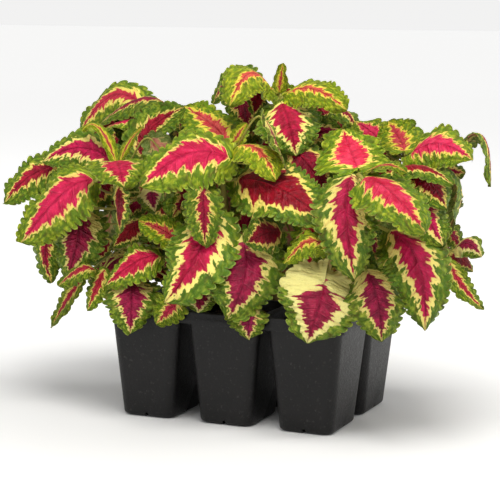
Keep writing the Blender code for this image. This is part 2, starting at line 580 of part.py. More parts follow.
def make(name, v, f, mat=None):
    me = bpy.data.meshes.new(name)
    me.from_pydata([tuple(float(q) * MM for q in p) for p in v], [], [tuple(int(q) for q in g) for g in f])
    bm = bmesh.new()
    bm.from_mesh(me)
    bmesh.ops.recalc_face_normals(bm, faces=bm.faces)
    bm.to_mesh(me)
    bm.free()
    me.validate()
    ob = bpy.data.objects.new(name, me)
    bpy.context.scene.collection.objects.link(ob)
    if mat:
        me.materials.append(mat)
    return ob


def cutter(name, v, f):
    ob = make(name, v, f)
    ob.hide_render = True
    ob.display_type = "WIRE"
    return ob


def boolean(ob, other, op):
    md = ob.modifiers.new(op.lower(), "BOOLEAN")
    md.operation = op
    md.object = other
    md.solver = "EXACT"


def bake_modifiers(ob):
    dg = bpy.context.evaluated_depsgraph_get()
    ev = ob.evaluated_get(dg)
    me = bpy.data.meshes.new_from_object(ev)
    ob.modifiers.clear()
    ob.data = me


def build():
    plastic = material("formed_plastic", (0.02, 0.02, 0.022), 0.45)
    peat = material("potting_soil", (0.045, 0.028, 0.018), 0.95)
    half = HALF

    # rim plate with its turned-down skirt
    rim = stack([(ring_xy(0, 0, half[0], half[1], 8.0), PACK_H - SKIRT),
                 (ring_xy(0, 0, half[0], half[1], 8.0), PACK_H)])
    tray = make("cell_pack", *rim, plastic)
    hollow = cutter("cut_skirt", *stack([
        (ring_xy(0, 0, half[0] - WALL, half[1] - WALL, 8.0 - WALL), PACK_H - SKIRT - 2),
        (ring_xy(0, 0, half[0] - WALL, half[1] - WALL, 8.0 - WALL), PACK_H - WALL)]))
    tools = [hollow]
    boolean(tray, hollow, "DIFFERENCE")
    bake_modifiers(tray)
    for i in (-1, 0, 1):
        for j in (-1, 1):
            cup = cutter("cup", *cell_body(i, j, 0.0, 0.0, PACK_H - WALL * 0.4, FOOT_R))
            tools.append(cup)
            boolean(tray, cup, "UNION")
    bake_modifiers(tray)
    for i in (-1, 0, 1):
        for j in (-1, 1):
            well = cutter("well", *cell_body(i, j, WALL, WALL, PACK_H + 2, FOOT_R))
            c = cell_centre(i, j)
            tools.append(well)
            boolean(tray, well, "DIFFERENCE")
            # drain openings across the bottom edge, long way and short way
            for q, (ax, ay) in enumerate(((4.0, CELL_BOTTOM[1] + 3), (CELL_BOTTOM[0] + 3, 4.0))):
                for sg in (-1, 1):
                    off = (0, sg * (CELL_BOTTOM[1] - 1.5)) if q == 0 else (sg * (CELL_BOTTOM[0] - 1.5), 0)
                    w = (2.2, 4.0) if q == 0 else (4.0, 2.2)
                    dr = cutter("drain", *stack([
                        (ring_xy(c[0] + off[0], c[1] + off[1], w[0], w[1], 0.9, 2), -2.0),
                        (ring_xy(c[0] + off[0], c[1] + off[1], w[0], w[1], 0.9, 2), 2.4)]))
                    tools.append(dr)
                    boolean(tray, dr, "DIFFERENCE")
    bake_modifiers(tray)
    for t in tools:
        bpy.data.objects.remove(t, do_unlink=True)

    # stems and the side shoot
    tubes = stem_meshes()
    stems = []
    for k in range(6):
        m = material("stem_skin_%d" % (k + 1), (0.36, 0.40, 0.10), 0.5)
        stems.append(make("stem_%d" % (k + 1), *tubes[k], m))
    shoot = cutter("shoot", *tubes[6])
    boolean(stems[5], shoot, "UNION")
    bake_modifiers(stems[5])
    bpy.data.objects.remove(shoot, do_unlink=True)

    # soil plugs with a socket for the stem
    n = 0
    for j in (-1, 1):
        for i in (-1, 0, 1):
            n += 1
            plug = make("soil_plug_%d" % n, *cell_body(i, j, WALL + SOIL_GAP, WALL + SOIL_GAP, SOIL_TOP, FOOT_R), peat)
            c = cell_centre(i, j)
            k = [q for q, s in enumerate(STEMS) if s[0] == i and s[1] == j][0]
            lead = [stem_point(k, h) for h in np.linspace(0, 0.30, 5)]
            lead = [lead[0] - unit(lead[1] - lead[0]) * 0.8] + lead
            rad = [STEM_R0 * 1.07 + 0.5] * len(lead)
            sock = cutter("socket", *tube(lead, rad, 10, 0.0))
            boolean(plug, sock, "DIFFERENCE")
            bake_modifiers(plug)
            bpy.data.objects.remove(sock, do_unlink=True)

    tones = dict(bright=(.55, .02, .10), dark=(.25, .0, .02), crimson=(.40, .01, .05), pink=(.62, .04, .13),
                 lime=(.30, .42, .05), yellow=(.45, .42, .08), young=(.42, .45, .08), old=(.30, .02, .08),
                 cream=(.60, .50, .22), small=(.40, .30, .10), mid=(.16, .28, .04))
    for name, specs, chosen, body in settle(keep_clear(tubes)):
        m = material(name + "_blade", tones[specs[0]["style"]], 0.4)
        make(name, body.v, body.f, m)

    # centre the whole over the origin, standing on z = 0
    parts = [o for o in bpy.data.objects if o.type == "MESH"]
    lo, hi = np.full(3, 1e9), np.full(3, -1e9)
    for o in parts:
        for v in o.data.vertices:
            lo, hi = np.minimum(lo, v.co), np.maximum(hi, v.co)
    shift = Vector((-(lo[0] + hi[0]) / 2, -(lo[1] + hi[1]) / 2, -lo[2]))
    for o in parts:
        for v in o.data.vertices:
            v.co += shift
    print("pieces", len(parts), "shift", [round(s * 1000, 2) for s in shift],
          "size", [round(s * 1000, 1) for s in (hi - lo)],
          "triangles", sum(len(p.vertices) - 2 for o in parts for p in o.data.polygons))


build()
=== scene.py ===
# Look of the six-cell coleus pack: leaves, stalks, stems, soil and formed tray.
import math
import random

import bmesh
import bpy
import numpy as np
from mathutils import Matrix, Vector
from mathutils.bvhtree import BVHTree

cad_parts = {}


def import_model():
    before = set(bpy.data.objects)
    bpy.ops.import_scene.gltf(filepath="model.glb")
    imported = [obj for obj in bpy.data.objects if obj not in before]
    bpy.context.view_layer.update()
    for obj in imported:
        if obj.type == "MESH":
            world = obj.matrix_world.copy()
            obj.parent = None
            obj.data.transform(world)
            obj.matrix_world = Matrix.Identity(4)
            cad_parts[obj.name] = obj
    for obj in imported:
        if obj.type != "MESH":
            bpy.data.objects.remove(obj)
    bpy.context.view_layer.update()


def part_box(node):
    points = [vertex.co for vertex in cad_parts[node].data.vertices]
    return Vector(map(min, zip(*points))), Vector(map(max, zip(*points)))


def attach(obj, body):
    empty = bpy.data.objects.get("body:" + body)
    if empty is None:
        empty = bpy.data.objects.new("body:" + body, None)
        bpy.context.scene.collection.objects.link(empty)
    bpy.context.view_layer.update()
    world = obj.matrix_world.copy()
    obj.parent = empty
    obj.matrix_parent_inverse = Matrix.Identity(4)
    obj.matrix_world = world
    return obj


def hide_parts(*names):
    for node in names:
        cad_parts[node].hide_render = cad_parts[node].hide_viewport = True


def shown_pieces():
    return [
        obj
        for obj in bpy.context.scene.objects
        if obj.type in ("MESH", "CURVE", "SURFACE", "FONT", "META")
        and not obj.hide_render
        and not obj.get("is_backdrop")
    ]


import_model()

# ------------------------------------------------------------------ dimensions
MM = 0.001
PITCH_X, PITCH_Y = 58.0, 65.0          # cell to cell, 3 along X and 2 along Y
CELL_TOP = (26.8, 31.5)                # half widths of a cell at the rim
CELL_BOTTOM = (19.3, 25.5)             # half widths of a cell at the floor
CELL_CORNER = 6.8
PACK_H = 78.0
WALL = 0.8
RIM_OVER = 1.5                         # rim plate beyond the outer cells
SKIRT = 8.6                            # rim skirt turned down
FOOT_R = 3.0                           # bottom edge of a cell
SOIL_TOP = 72.0
SOIL_GAP = 0.3
SOCKET_DEPTH = 12.0
STEM_R0, STEM_R1 = 3.3, 1.5
BLADE_T = 1.0                          # leaf blade
CLEAR = 0.3                            # between any two pieces
SEED = 41

# ------------------------------------------------------------------ sight lines
# The foliage is laid out from one viewing station in front of the tray: (u, v) is a
# direction from the station (500 units across the field, v downwards) and y is the
# distance behind the middle of the tray, in mm.
VIEW_AZ, VIEW_EL, VIEW_ROLL = 22.08, 7.87, 0.72
VIEW_DIST, VIEW_F = 1255.75, 1791.2
VIEW_TX, VIEW_TZ = -5.5, 113.04


def station():
    a, e, r = (math.radians(k) for k in (VIEW_AZ, VIEW_EL, VIEW_ROLL))
    back = np.array([math.sin(a) * math.cos(e), -math.cos(a) * math.cos(e), math.sin(e)])
    right = np.array([math.cos(a), math.sin(a), 0.0])
    up = np.cross(back, right)
    r2 = right * math.cos(r) + up * math.sin(r)
    u2 = -right * math.sin(r) + up * math.cos(r)
    target = right * VIEW_TX + np.array([0.0, 0.0, VIEW_TZ])
    return target + back * VIEW_DIST, r2, u2, back


EYE, EYE_R, EYE_U, EYE_B = station()


def at(u, v, y):
    d = EYE_R * ((u - 250.0) / VIEW_F) - EYE_U * ((v - 250.0) / VIEW_F) - EYE_B
    return EYE + d * ((y - EYE[1]) / d[1])


def face(r, u, t):
    n = EYE_R * r + EYE_U * u + EYE_B * t
    return n / np.linalg.norm(n)


def unit(v):
    return v / max(1e-9, float(np.linalg.norm(v)))


# ------------------------------------------------------------------ plants
# stem: cell column, cell row, bend (u, v, y), crown (u, v, y)
STEMS = [
    (-1, -1, (124, 222, -36), (117, 166, -38)),
    (0, -1, (224, 206, -36), (231, 148, -36)),
    (1, -1, (334, 232, -40), (359, 174, -44)),
    (-1, 1, (168, 190, 34), (163, 113, 26)),
    (0, 1, (276, 190, 34), (281, 96, 22)),
    (1, 1, (392, 232, 22), (405, 154, 6)),
]
# drooping side shoot on the right-hand back plant
SHOOT = ((430, 232, 0), (446, 256, -10))


def cell_centre(i, j):
    return np.array([i * PITCH_X, j * PITCH_Y / 2.0, 0.0])


def bend(p0, pm, p1, s):
    q = 2.0 * pm - 0.5 * (p0 + p1)
    return (1 - s) ** 2 * p0 + 2 * s * (1 - s) * q + s * s * p1


def stem_point(k, h):
    if k == 6:
        a = stem_point(5, 0.34)
        return bend(a, at(*SHOOT[0]), at(*SHOOT[1]), h)
    i, j, m, c = STEMS[k]
    foot = cell_centre(i, j) + np.array([0, 0, SOIL_TOP - SOCKET_DEPTH + 1.0])
    return bend(foot, at(*m), at(*c), h)


def stem_radius(k, h):
    if k == 6:
        return 1.7 - 0.5 * h
    return STEM_R0 + (STEM_R1 - STEM_R0) * h


# A blade: base, middle and tip of the midrib, full width, side it faces, fold (deg,
# + is a V open to the face side), twist (deg), heart sweep of the base, style.
def seen(b, m, t, w, f, fold=-8, twist=0, sweep=0.14, style="mid"):
    return dict(kind="seen", b=b, m=m, t=t, w=w, f=f, fold=fold, twist=twist, sweep=sweep, style=style)


# The same for sides the station does not see: compass angle, reach and rise of the
# base from the stem, length, drop of the tip below the base, width.
def far(az, r0, z0, length, drop, w, fold=-10, style="mid"):
    return dict(kind="far", az=az, r0=r0, z0=z0, length=length, drop=drop, w=w, fold=fold,
                twist=0, sweep=0.14, style=style)


# name, stem, height on the stem, points across the blade, blades
FOLIAGE = [
    ("leaf_01", 0, 0.86, 5, [seen((91, 180, -54), (63, 193, -68), (21, 243, -72), 45, (-.15, .40, .9), -10, 0, .12, "bright")]),
    ("leaf_02", 1, 0.90, 5, [seen((226, 156, -46), (186, 154, -62), (141, 187, -72), 48, (-.10, .55, .82), -8, 0, .16, "bright"),
                             seen((238, 146, -46), (259, 150, -58), (276, 180, -66), 28, (.2, .45, .85), -14, 0, .12, "lime")]),
    ("leaf_03", 1, 0.66, 5, [seen((243, 178, -42), (284, 190, -64), (328, 225, -74), 44, (.0, .35, .93), -6, 0, .16, "dark"),
                             seen((203, 206, -42), (195, 213, -48), (190, 228, -50), 15, (-.1, .5, .85), -18, 0, .10, "small")]),
    ("leaf_04", 2, 0.90, 5, [seen((350, 178, -56), (346, 218, -82), (355, 280, -90), 42, (-.05, .28, .95), -12, 0, .18, "crimson"),
                             seen((357, 166, -40), (351, 150, -26), (343, 129, -8), 48, (.0, .62, .78), -6, 0, .16, "pink")]),
    ("leaf_05", 2, 0.95, 5, [seen((366, 178, -66), (392, 192, -86), (425, 232, -102), 40, (.12, .50, .86), -10, 0, .10, "pink")]),
    ("leaf_06", 1, 0.42, 5, [seen((208, 214, -64), (196, 256, -90), (164, 303, -100), 48, (-.20, .28, .94), -12, 0, .16, "crimson")]),
    ("leaf_07", 1, 0.34, 5, [seen((244, 245, -72), (243, 280, -90), (228, 318, -92), 52, (.0, .16, .98), -10, 0, .30, "old")]),
    ("leaf_08", 2, 0.32, 5, [seen((325, 280, -78), (317, 310, -90), (307, 343, -90), 54, (-.05, .12, .99), -6, 0, .32, "cream")]),
    ("leaf_09", 2, 0.38, 5, [seen((369, 274, -70), (378, 304, -80), (382, 342, -82), 39, (.0, .15, .98), -12, 0, .18, "old")]),
    ("leaf_10", 2, 0.62, 5, [seen((394, 232, -52), (419, 266, -72), (425, 331, -76), 42, (-.05, .25, .96), -16, 0, .16, "crimson"),
                             seen((326, 249, -70), (308, 241, -80), (284, 264, -84), 20, (-.1, .50, .86), -16, 0, .12, "lime")]),
    ("leaf_11", 4, 0.90, 5, [seen((282, 104, 2), (290, 124, -14), (296, 156, -20), 46, (.0, .40, .92), -10, 0, .20, "crimson"),
                             far(95, 14, 4, 50, 12, 36)]),
    ("leaf_12", 0, 0.93, 5, [seen((117, 161, -50), (120, 170, -66), (124, 187, -76), 40, (.0, .78, .62), 8, 0, .12, "bright"),
                             far(130, 14, 2, 42, 10, 30)]),
    ("leaf_13", 5, 0.92, 5, [seen((413, 152, -6), (440, 143, -14), (473, 160, -16), 37, (.05, .50, .86), -8, 0, .16, "pink"),
                             seen((382, 142, 12), (370, 130, 20), (354, 121, 26), 28, (.0, .45, .88), -6, 0, .14, "pink")]),
    ("leaf_14", 4, 0.95, 3, [seen((274, 91, 16), (250, 73, 6), (230, 106, -2), 33, (.0, .55, .83), -12, 0, .14, "lime"),
                             seen((288, 93, 14), (315, 89, 4), (347, 110, -4), 27, (.0, .50, .86), -8, 0, .12, "lime")]),
    ("leaf_15", 0, 0.90, 3, [seen((111, 162, -36), (80, 147, -36), (42, 162, -42), 33, (.0, .48, .87), -10, 0, .14, "crimson"),
                             seen((141, 154, -26), (149, 130, -20), (184, 107, -10), 30, (-.2, .35, .9), 14, 0, .12, "mid")]),
    ("leaf_16", 1, 0.95, 3, [seen((229, 143, -36), (209, 122, -28), (184, 106, -18), 36, (.15, .45, .87), 6, 0, .14, "yellow"),
                             far(105, 18, 2, 38, 8, 28)]),
    ("leaf_17", 3, 0.92, 3, [seen((140, 104, 34), (110, 96, 32), (78, 136, 26), 34, (-.35, .60, .72), -10, 0, .16, "small"),
                             far(62, 14, 4, 46, 12, 34)]),
    ("leaf_18", 5, 0.96, 3, [seen((404, 150, 4), (399, 137, 10), (388, 121, 16), 34, (.0, .35, .93), 4, 0, .14, "yellow"),
                             far(70, 12, 4, 42, 14, 32)]),
    ("leaf_19", 0, 0.97, 3, [seen((115, 160, -42), (98, 127, -40), (82, 131, -44), 10, (.2, .75, .6), 10, 0, .04, "young"),
                             seen((121, 160, -40), (130, 141, -38), (143, 127, -40), 8, (-.3, .6, .7), 10, 0, .04, "young")]),
    ("leaf_20", 1, 0.985, 3, [seen((233, 143, -40), (240, 132, -40), (247, 123, -38), 10, (.0, .5, .86), 10, 0, .04, "young")]),
    ("leaf_21", 2, 0.975, 3, [seen((357, 171, -50), (347, 173, -60), (337, 185, -66), 12, (.0, .7, .7), 10, 0, .04, "young"),
                              seen((366, 172, -50), (387, 165, -62), (407, 173, -68), 14, (.0, .8, .6), 6, 0, .06, "yellow")]),
    ("leaf_22", 4, 0.985, 3, [seen((279, 92, 20), (281, 78, 20), (283, 63, 20), 12, (-.5, .2, .8), 14, 0, .04, "young"),
                              seen((270, 97, 8), (252, 90, -2), (238, 106, -8), 12, (.0, .7, .7), 10, 0, .04, "young")]),
    ("leaf_23", 0, 0.60, 3, [seen((80, 213, -44), (77, 240, -56), (67, 280, -58), 38, (-.1, .18, .97), -10, 0, .22, "old"),
                             seen((152, 188, -44), (152, 198, -52), (155, 212, -56), 20, (.0, .4, .9), -14, 0, .16, "cream")]),
    ("leaf_24", 0, 0.70, 3, [seen((62, 166, -28), (32, 174, -36), (4, 203, -38), 32, (-.1, .45, .88), -8, 0, .14, "mid"),
                             seen((160, 197, -20), (170, 209, -26), (176, 228, -28), 22, (.1, .3, .95), -10, 0, .14, "dark")]),
    ("leaf_25", 0, 0.50, 3, [seen((58, 224, -26), (45, 248, -30), (52, 283, -30), 24, (-.25, .25, .9), -10, 0, .10, "mid"),
                             seen((141, 221, -46), (128, 232, -52), (113, 247, -56), 17, (.0, .4, .9), -12, 0, .08, "dark")]),
    ("leaf_26", 0, 0.40, 3, [seen((95, 270, -50), (80, 269, -58), (58, 286, -60), 18, (.0, .75, .66), -8, 0, .10, "small"),
                             far(75, 12, 0, 30, 16, 22)]),
    ("leaf_27", 0, 0.36, 3, [seen((82, 279, -40), (69, 297, -44), (51, 328, -44), 14, (-.6, .2, .7), 20, 60, .06, "small"),
                             seen((110, 213, -30), (106, 226, -34), (97, 242, -34), 24, (.1, .1, -1.), -10, 0, .10, "mid")]),
    ("leaf_28", 0, 0.32, 3, [seen((104, 270, -56), (96, 288, -62), (87, 311, -62), 17, (-.3, .2, .9), -16, 20, .08, "small")]),
    ("leaf_29", 0, 0.24, 3, [seen((131, 281, -66), (131, 304, -78), (130, 334, -78), 38, (.0, .14, .98), -12, 0, .26, "old")]),
    ("leaf_30", 0, 0.28, 3, [seen((158, 256, -64), (135, 262, -74), (105, 286, -78), 28, (.0, .55, .83), -10, 0, .12, "bright")]),
    ("leaf_31", 0, 0.34, 3, [seen((181, 243, -56), (160, 229, -62), (138, 221, -64), 22, (.0, .4, .9), 8, 0, .12, "yellow"),
                             seen((178, 299, -68), (169, 310, -72), (156, 324, -74), 22, (.1, .1, .98), -10, 0, .12, "small")]),
    ("leaf_32", 1, 0.22, 3, [seen((245, 306, -72), (248, 320, -78), (249, 340, -78), 27, (.0, .12, .98), -12, 0, .22, "old"),
                             seen((196, 291, -70), (199, 301, -76), (198, 313, -78), 24, (.0, .12, .98), -10, 0, .20, "cream")]),
    ("leaf_33", 4, 0.80, 3, [seen((248, 96, 38), (230, 80, 44), (213, 104, 44), 30, (-.1, .30, .95), -8, 0, .16, "mid"),
                             seen((316, 122, 34), (341, 109, 30), (358, 134, 26), 27, (.2, .88, .42), -14, 0, .12, "mid")]),
    ("leaf_34", 4, 0.66, 3, [seen((293, 150, -22), (312, 168, -36), (333, 201, -44), 33, (-.1, .45, .88), -10, 0, .16, "dark"),
                             far(150, 14, 6, 42, 14, 34)]),
    ("leaf_35", 2, 0.84, 3, [seen((387, 172, -36), (420, 166, -44), (453, 185, -50), 25, (.0, .85, .5), -14, 0, .12, "mid"),
                             far(160, 12, 2, 34, 16, 26)]),
    ("leaf_36", 5, 0.84, 3, [seen((412, 172, -34), (430, 182, -44), (447, 209, -50), 28, (.35, .35, .87), -10, 0, .14, "dark"),
                             far(100, 16, 2, 46, 22, 36)]),
    ("leaf_37", 5, 0.74, 3, [seen((440, 173, 0), (462, 192, -4), (442, 246, -14), 32, (.97, .15, -.2), -14, 0, .14, "mid")]),
    ("leaf_38", 5, 0.62, 3, [seen((416, 194, -32), (427, 215, -44), (443, 246, -48), 30, (.0, .3, .95), -10, 0, .14, "crimson"),
                             far(120, 14, 0, 44, 26, 36)]),
    ("leaf_39", 5, 0.80, 3, [seen((458, 147, 16), (484, 136, 14), (491, 187, 8), 18, (.75, .6, .2), -14, 0, .10, "mid"),
                             far(55, 16, 6, 46, 16, 36)]),
    ("leaf_40", 6, 0.93, 3, [seen((441, 262, -16), (443, 275, -18), (446, 294, -20), 12, (-.1, .2, .97), -10, 0, .08, "young"),
                             seen((454, 250, -10), (468, 243, -10), (482, 257, -10), 22, (.2, .55, .8), -10, 0, .10, "cream")]),
    ("leaf_41", 6, 0.80, 3, [seen((450, 263, -20), (461, 284, -26), (484, 310, -26), 15, (.35, .3, .88), 10, 0, .08, "small"),
                             seen((452, 259, 2), (463, 258, 6), (473, 272, 8), 18, (.2, .6, .75), -10, 0, .10, "dark")]),
    ("leaf_42", 3, 0.84, 3, [seen((166, 104, 20), (138, 99, 8), (100, 124, 0), 26, (.1, .90, .38), -10, 0, .12, "mid"),
                             seen((172, 118, 18), (190, 118, 14), (209, 134, 10), 22, (.1, .6, .8), -8, 0, .12, "dark")]),
    ("leaf_43", 3, 0.76, 3, [seen((147, 121, 2), (128, 119, -4), (103, 130, -12), 22, (.0, .95, .3), -8, 0, .12, "bright"),
                             far(110, 14, 4, 48, 22, 38)]),
    ("leaf_44", 3, 0.55, 3, [far(185, 18, 4, 50, 30, 38), far(75, 14, 2, 46, 28, 38)]),
    ("leaf_45", 4, 0.50, 3, [far(70, 22, 4, 52, 34, 40), far(118, 22, 4, 50, 36, 38)]),
    ("leaf_46", 5, 0.44, 3, [far(85, 20, 2, 48, 34, 38), far(20, 20, 0, 44, 28, 34)]),
    ("leaf_47", 3, 0.36, 3, [far(130, 22, 0, 44, 34, 36), far(200, 20, -2, 38, 26, 30)]),
]


# ------------------------------------------------------------------ blade surface
def outline(s):
    """Half width of the blade, 0..1, from base (s=0) to tip (s=1)."""
    return np.sin(np.pi * np.clip(s, 0, 1) ** 0.69) ** 0.64


class Blade:
    def __init__(self, b, m, t, n0, w, fold, twist, sweep):
        k = np.linspace(0.0, 1.0, 25)
        q = k[:, None]
        mid = 2.0 * m - 0.5 * (b + t)
        pts = (1 - q) ** 2 * b + 2 * q * (1 - q) * mid + q * q * t
        seg = np.sqrt((np.diff(pts, axis=0) ** 2).sum(1))
        arc = np.concatenate([[0.0], np.cumsum(seg)])
        self.length = float(arc[-1])
        self.k = k
        u = np.interp(k, arc / arc[-1], k)[:, None]
        c = (1 - u) ** 2 * b + 2 * u * (1 - u) * mid + u * u * t
        tan = (1 - u) * (mid - b) + u * (t - mid)
        tan = tan / np.sqrt((tan ** 2).sum(1))[:, None]
        tm = tan[12]
        n = unit(n0 - tm * float(n0 @ tm))
        flat = np.cross(b - mid, t - mid)
        flat = unit(flat) if np.linalg.norm(flat) > 1e-3 else n
        side = np.cross(flat, tan)
        nn = flat * float(n @ flat) + side * float(n @ side[12])
        nn = nn / np.sqrt((nn ** 2).sum(1))[:, None]
        tw = np.radians(twist) * (k - 0.5)
        cross = np.cross(tan, nn)
        nn = nn * np.cos(tw)[:, None] + cross * np.sin(tw)[:, None]
        self.table = np.concatenate([c, tan, nn, np.cross(tan, nn)], axis=1)
        self.w, self.fold, self.sweep = w / 2.0, math.radians(fold), sweep

    def frame(self, s):
        """Midrib point, tangent, normal and side direction at s (arrays work)."""
        s = np.asarray(s, float)
        q = np.clip(s, 0, 1) * 24.0
        i = np.minimum(q.astype(int), 23)
        g = (q - i)[..., None]
        r = self.table[i] * (1 - g) + self.table[i + 1] * g
        c, t, n, a = r[..., 0:3], r[..., 3:6], r[..., 6:9], r[..., 9:12]
        c = c + t * (np.minimum(s, 0) * self.length)[..., None]
        return c, t, n, a

    def surface(self, s, x):
        """Point and normal at length fraction s and side fraction x (-1..1)."""
        s, x = np.broadcast_arrays(np.asarray(s, float), np.asarray(x, float))
        hw = self.w * np.maximum(outline(s), 0.02)
        e = s - self.sweep * np.abs(x) ** 1.4 * (1 - np.clip(s, 0, 1)) ** 2
        c, t, n, a = self.frame(e)
        b = hw * x
        cf, sf = math.cos(self.fold), math.sin(self.fold)
        arch = 0.10 * self.w * (b / self.w) ** 2
        p = c + a * (b * cf)[..., None] + n * (np.abs(b) * sf - arch)[..., None]
        nn = n * cf - a * (np.sign(x) * sf)[..., None]
        return p, nn / np.linalg.norm(nn, axis=-1)[..., None]


def stalk(p0, d0, p3, d3, n):
    k = 0.36 * float(np.linalg.norm(p3 - p0))
    p1, p2 = p0 + d0 * k, p3 - d3 * k
    s = np.linspace(0, 1, n)[:, None]
    c = (1 - s) ** 3 * p0 + 3 * s * (1 - s) ** 2 * p1 + 3 * s * s * (1 - s) * p2 + s ** 3 * p3
    t = 3 * (1 - s) ** 2 * (p1 - p0) + 6 * s * (1 - s) * (p2 - p1) + 3 * s * s * (p3 - p2)
    return c, t / np.linalg.norm(t, axis=1)[:, None]


def roll_frames(t, n_end):
    """Normals along a stalk, carried back from its end and eased to face upwards."""
    n = np.zeros_like(t)
    n[-1] = unit(n_end - t[-1] * float(n_end @ t[-1]))
    for i in range(len(t) - 2, -1, -1):
        n[i] = unit(n[i + 1] - t[i] * float(n[i + 1] @ t[i]))
    up = unit(np.array([0, 0, 1.0]) - t[0] * t[0][2])
    side = np.cross(t[0], n[0])
    ang = math.atan2(float(up @ side), float(up @ n[0]))
    for i in range(len(t)):
        f = ang * (1 - i / (len(t) - 1.0))
        s = np.cross(t[i], n[i])
        n[i] = n[i] * math.cos(f) + s * math.sin(f)
    return n


def place_points(spec, k, h, j):
    """Midrib points and facing of a blade with the shift j (four numbers, mm)."""
    if spec["kind"] == "seen":
        b, m, t = spec["b"], spec["m"], spec["t"]
        return (at(b[0], b[1], b[2] + j[0]), at(m[0], m[1], m[2] + j[0] + 0.5 * j[1]),
                at(t[0], t[1], t[2] + j[0] + j[1]), face(*spec["f"]))
    c = stem_point(k, h)
    az = math.radians(spec["az"] + 0.9 * j[0])
    d = np.array([math.cos(az), math.sin(az), 0.0])
    up = np.array([0.0, 0.0, 1.0])
    b = c + d * (spec["r0"] + 0.3 * abs(j[1])) + up * (spec["z0"] + 0.5 * j[2])
    ln = spec["length"]
    m = b + d * ln * 0.48 + up * (0.04 * ln - 0.12 * spec["drop"] + 0.3 * j[3])
    t = b + d * ln * 0.86 - up * (spec["drop"] - 0.6 * j[3])
    return b, m, t, unit(up * 0.8 + d * 0.55)


ROWS_5 = (0.0, 0.06, 0.18, 0.34, 0.52, 0.70, 0.87, 1.0)
ROWS_3 = (0.0, 0.10, 0.32, 0.58, 0.82, 1.0)
LENS = {5: (0.40, 0.80, 1.0, 0.80, 0.40), 3: (0.45, 1.0, 0.45)}


def leaf_rows(blade, s0, d0, across, grow):
    """Sheet of points, normals and half thicknesses from the stem out to the tip."""
    rows = np.array((ROWS_5 if across == 5 else ROWS_3)[1:-1])
    x = np.linspace(-1, 1, across)
    lens = np.array(LENS[across])
    b0, t0, n0, a0 = blade.frame(0.0)
    nst = 4 if float(np.linalg.norm(b0 - s0)) > 22 else 3
    c, t = stalk(s0, d0, b0, t0, nst)
    n = roll_frames(t, n0)
    pr = min(1.35, max(0.75, blade.w * 0.07))
    P1 = c[:, None, :] + np.cross(t, n)[:, None, :] * (x * (pr + grow))[None, :, None]
    N1 = np.repeat(n[:, None, :], across, 1)
    T1 = np.repeat((lens * (pr * 0.95) + grow)[None], nst, 0)
    P2, N2 = blade.surface(rows[:, None], x[None, :])
    if grow:
        P2 = P2 + blade.frame(rows)[3][:, None, :] * (x * grow)[None, :, None]
    thick = BLADE_T * np.where(rows <= 0.12, 1.3, 1.0)
    T2 = lens[None] * thick[:, None] / 2 + grow
    cc, tt, nn, aa = blade.frame(1.0)
    P3 = (cc + aa * (x * (0.6 + grow))[:, None] + tt * grow)[None]
    N3 = np.repeat(nn[None], across, 0)[None]
    T3 = (lens * BLADE_T * 0.4 + grow)[None]
    return (np.concatenate([P1, P2, P3]), np.concatenate([N1, N2, N3]), np.concatenate([T1, T2, T3]))


def shell(P, N, T):
    """Closed body of quads round a sheet."""
    r, a = P.shape[:2]
    top, low = P + N * T[..., None], P - N * T[..., None]
    ring = np.concatenate([top, low[:, ::-1]], axis=1)
    m = 2 * a
    v = ring.reshape(-1, 3)
    f = []
    for i in range(r - 1):
        for q in range(m):
            # both faces of the sheet are split along the same diagonal
            w = (q + 1) % m
            p0, p1, p2, p3 = i * m + q, i * m + w, (i + 1) * m + w, (i + 1) * m + q
            if q < a:
                f += [(p0, p1, p2), (p0, p2, p3)]
            else:
                f += [(p0, p1, p3), (p1, p2, p3)]
    for end in (0, r - 1):
        for q in range(a - 1):
            f.append((end * m + q, end * m + q + 1, end * m + m - 2 - q, end * m + m - 1 - q))
    return v, f


class Placed:
    def __init__(self, name, v, f):
        self.name = name
        self.lo, self.hi = v.min(0), v.max(0)
        self.v, self.f = v, f
        self.tree = BVHTree.FromPolygons([tuple(p) for p in v], [tuple(q) for q in f])

    def hits(self, other):
        if np.any(self.lo > other.hi) or np.any(self.hi < other.lo):
            return 0
        return len(self.tree.overlap(other.tree))

    def folds_on_itself(self):
        n = 0
        for i, k in self.tree.overlap(self.tree):
            if i < k and not set(self.f[i]) & set(self.f[k]):
                n += 1
        return n


def tube(centre, radius, sides=8, square=0.07):
    """Closed tube; stems of the mint family are four-cornered."""
    n = len(centre)
    c = np.array(centre)
    t = np.gradient(c, axis=0)
    t /= np.linalg.norm(t, axis=1)[:, None]
    ref = np.array([1.0, 0.0, 0.0])
    v, f = [], []
    for i in range(n):
        ref = unit(ref - t[i] * float(ref @ t[i]))
        o = np.cross(t[i], ref)
        for q in range(sides):
            g = 2 * math.pi * q / sides
            rr = radius[i] * (1 + square * math.cos(4 * g))
            v.append(c[i] + ref * rr * math.cos(g) + o * rr * math.sin(g))
    for i in range(n - 1):
        for q in range(sides):
            w = (q + 1) % sides
            f.append((i * sides + q, i * sides + w, (i + 1) * sides + w, (i + 1) * sides + q))
    v += [c[0], c[-1]]
    for q in range(sides):
        w = (q + 1) % sides
        f.append((q, w, n * sides))
        f.append(((n - 1) * sides + w, (n - 1) * sides + q, n * sides + 1))
    return np.array(v), f


def stem_meshes():
    out = []
    for k in range(6):
        hs = np.linspace(0, 1, 9)
        out.append(tube([stem_point(k, h) for h in hs], [stem_radius(k, h) for h in hs]))
    hs = np.linspace(0, 1, 6)
    out.append(tube([stem_point(6, h) for h in hs], [stem_radius(6, h) for h in hs], 8))
    return out


def stem_dir(k, h):
    return unit(stem_point(k, min(1.0, h + 0.02)) - stem_point(k, h - 0.02))


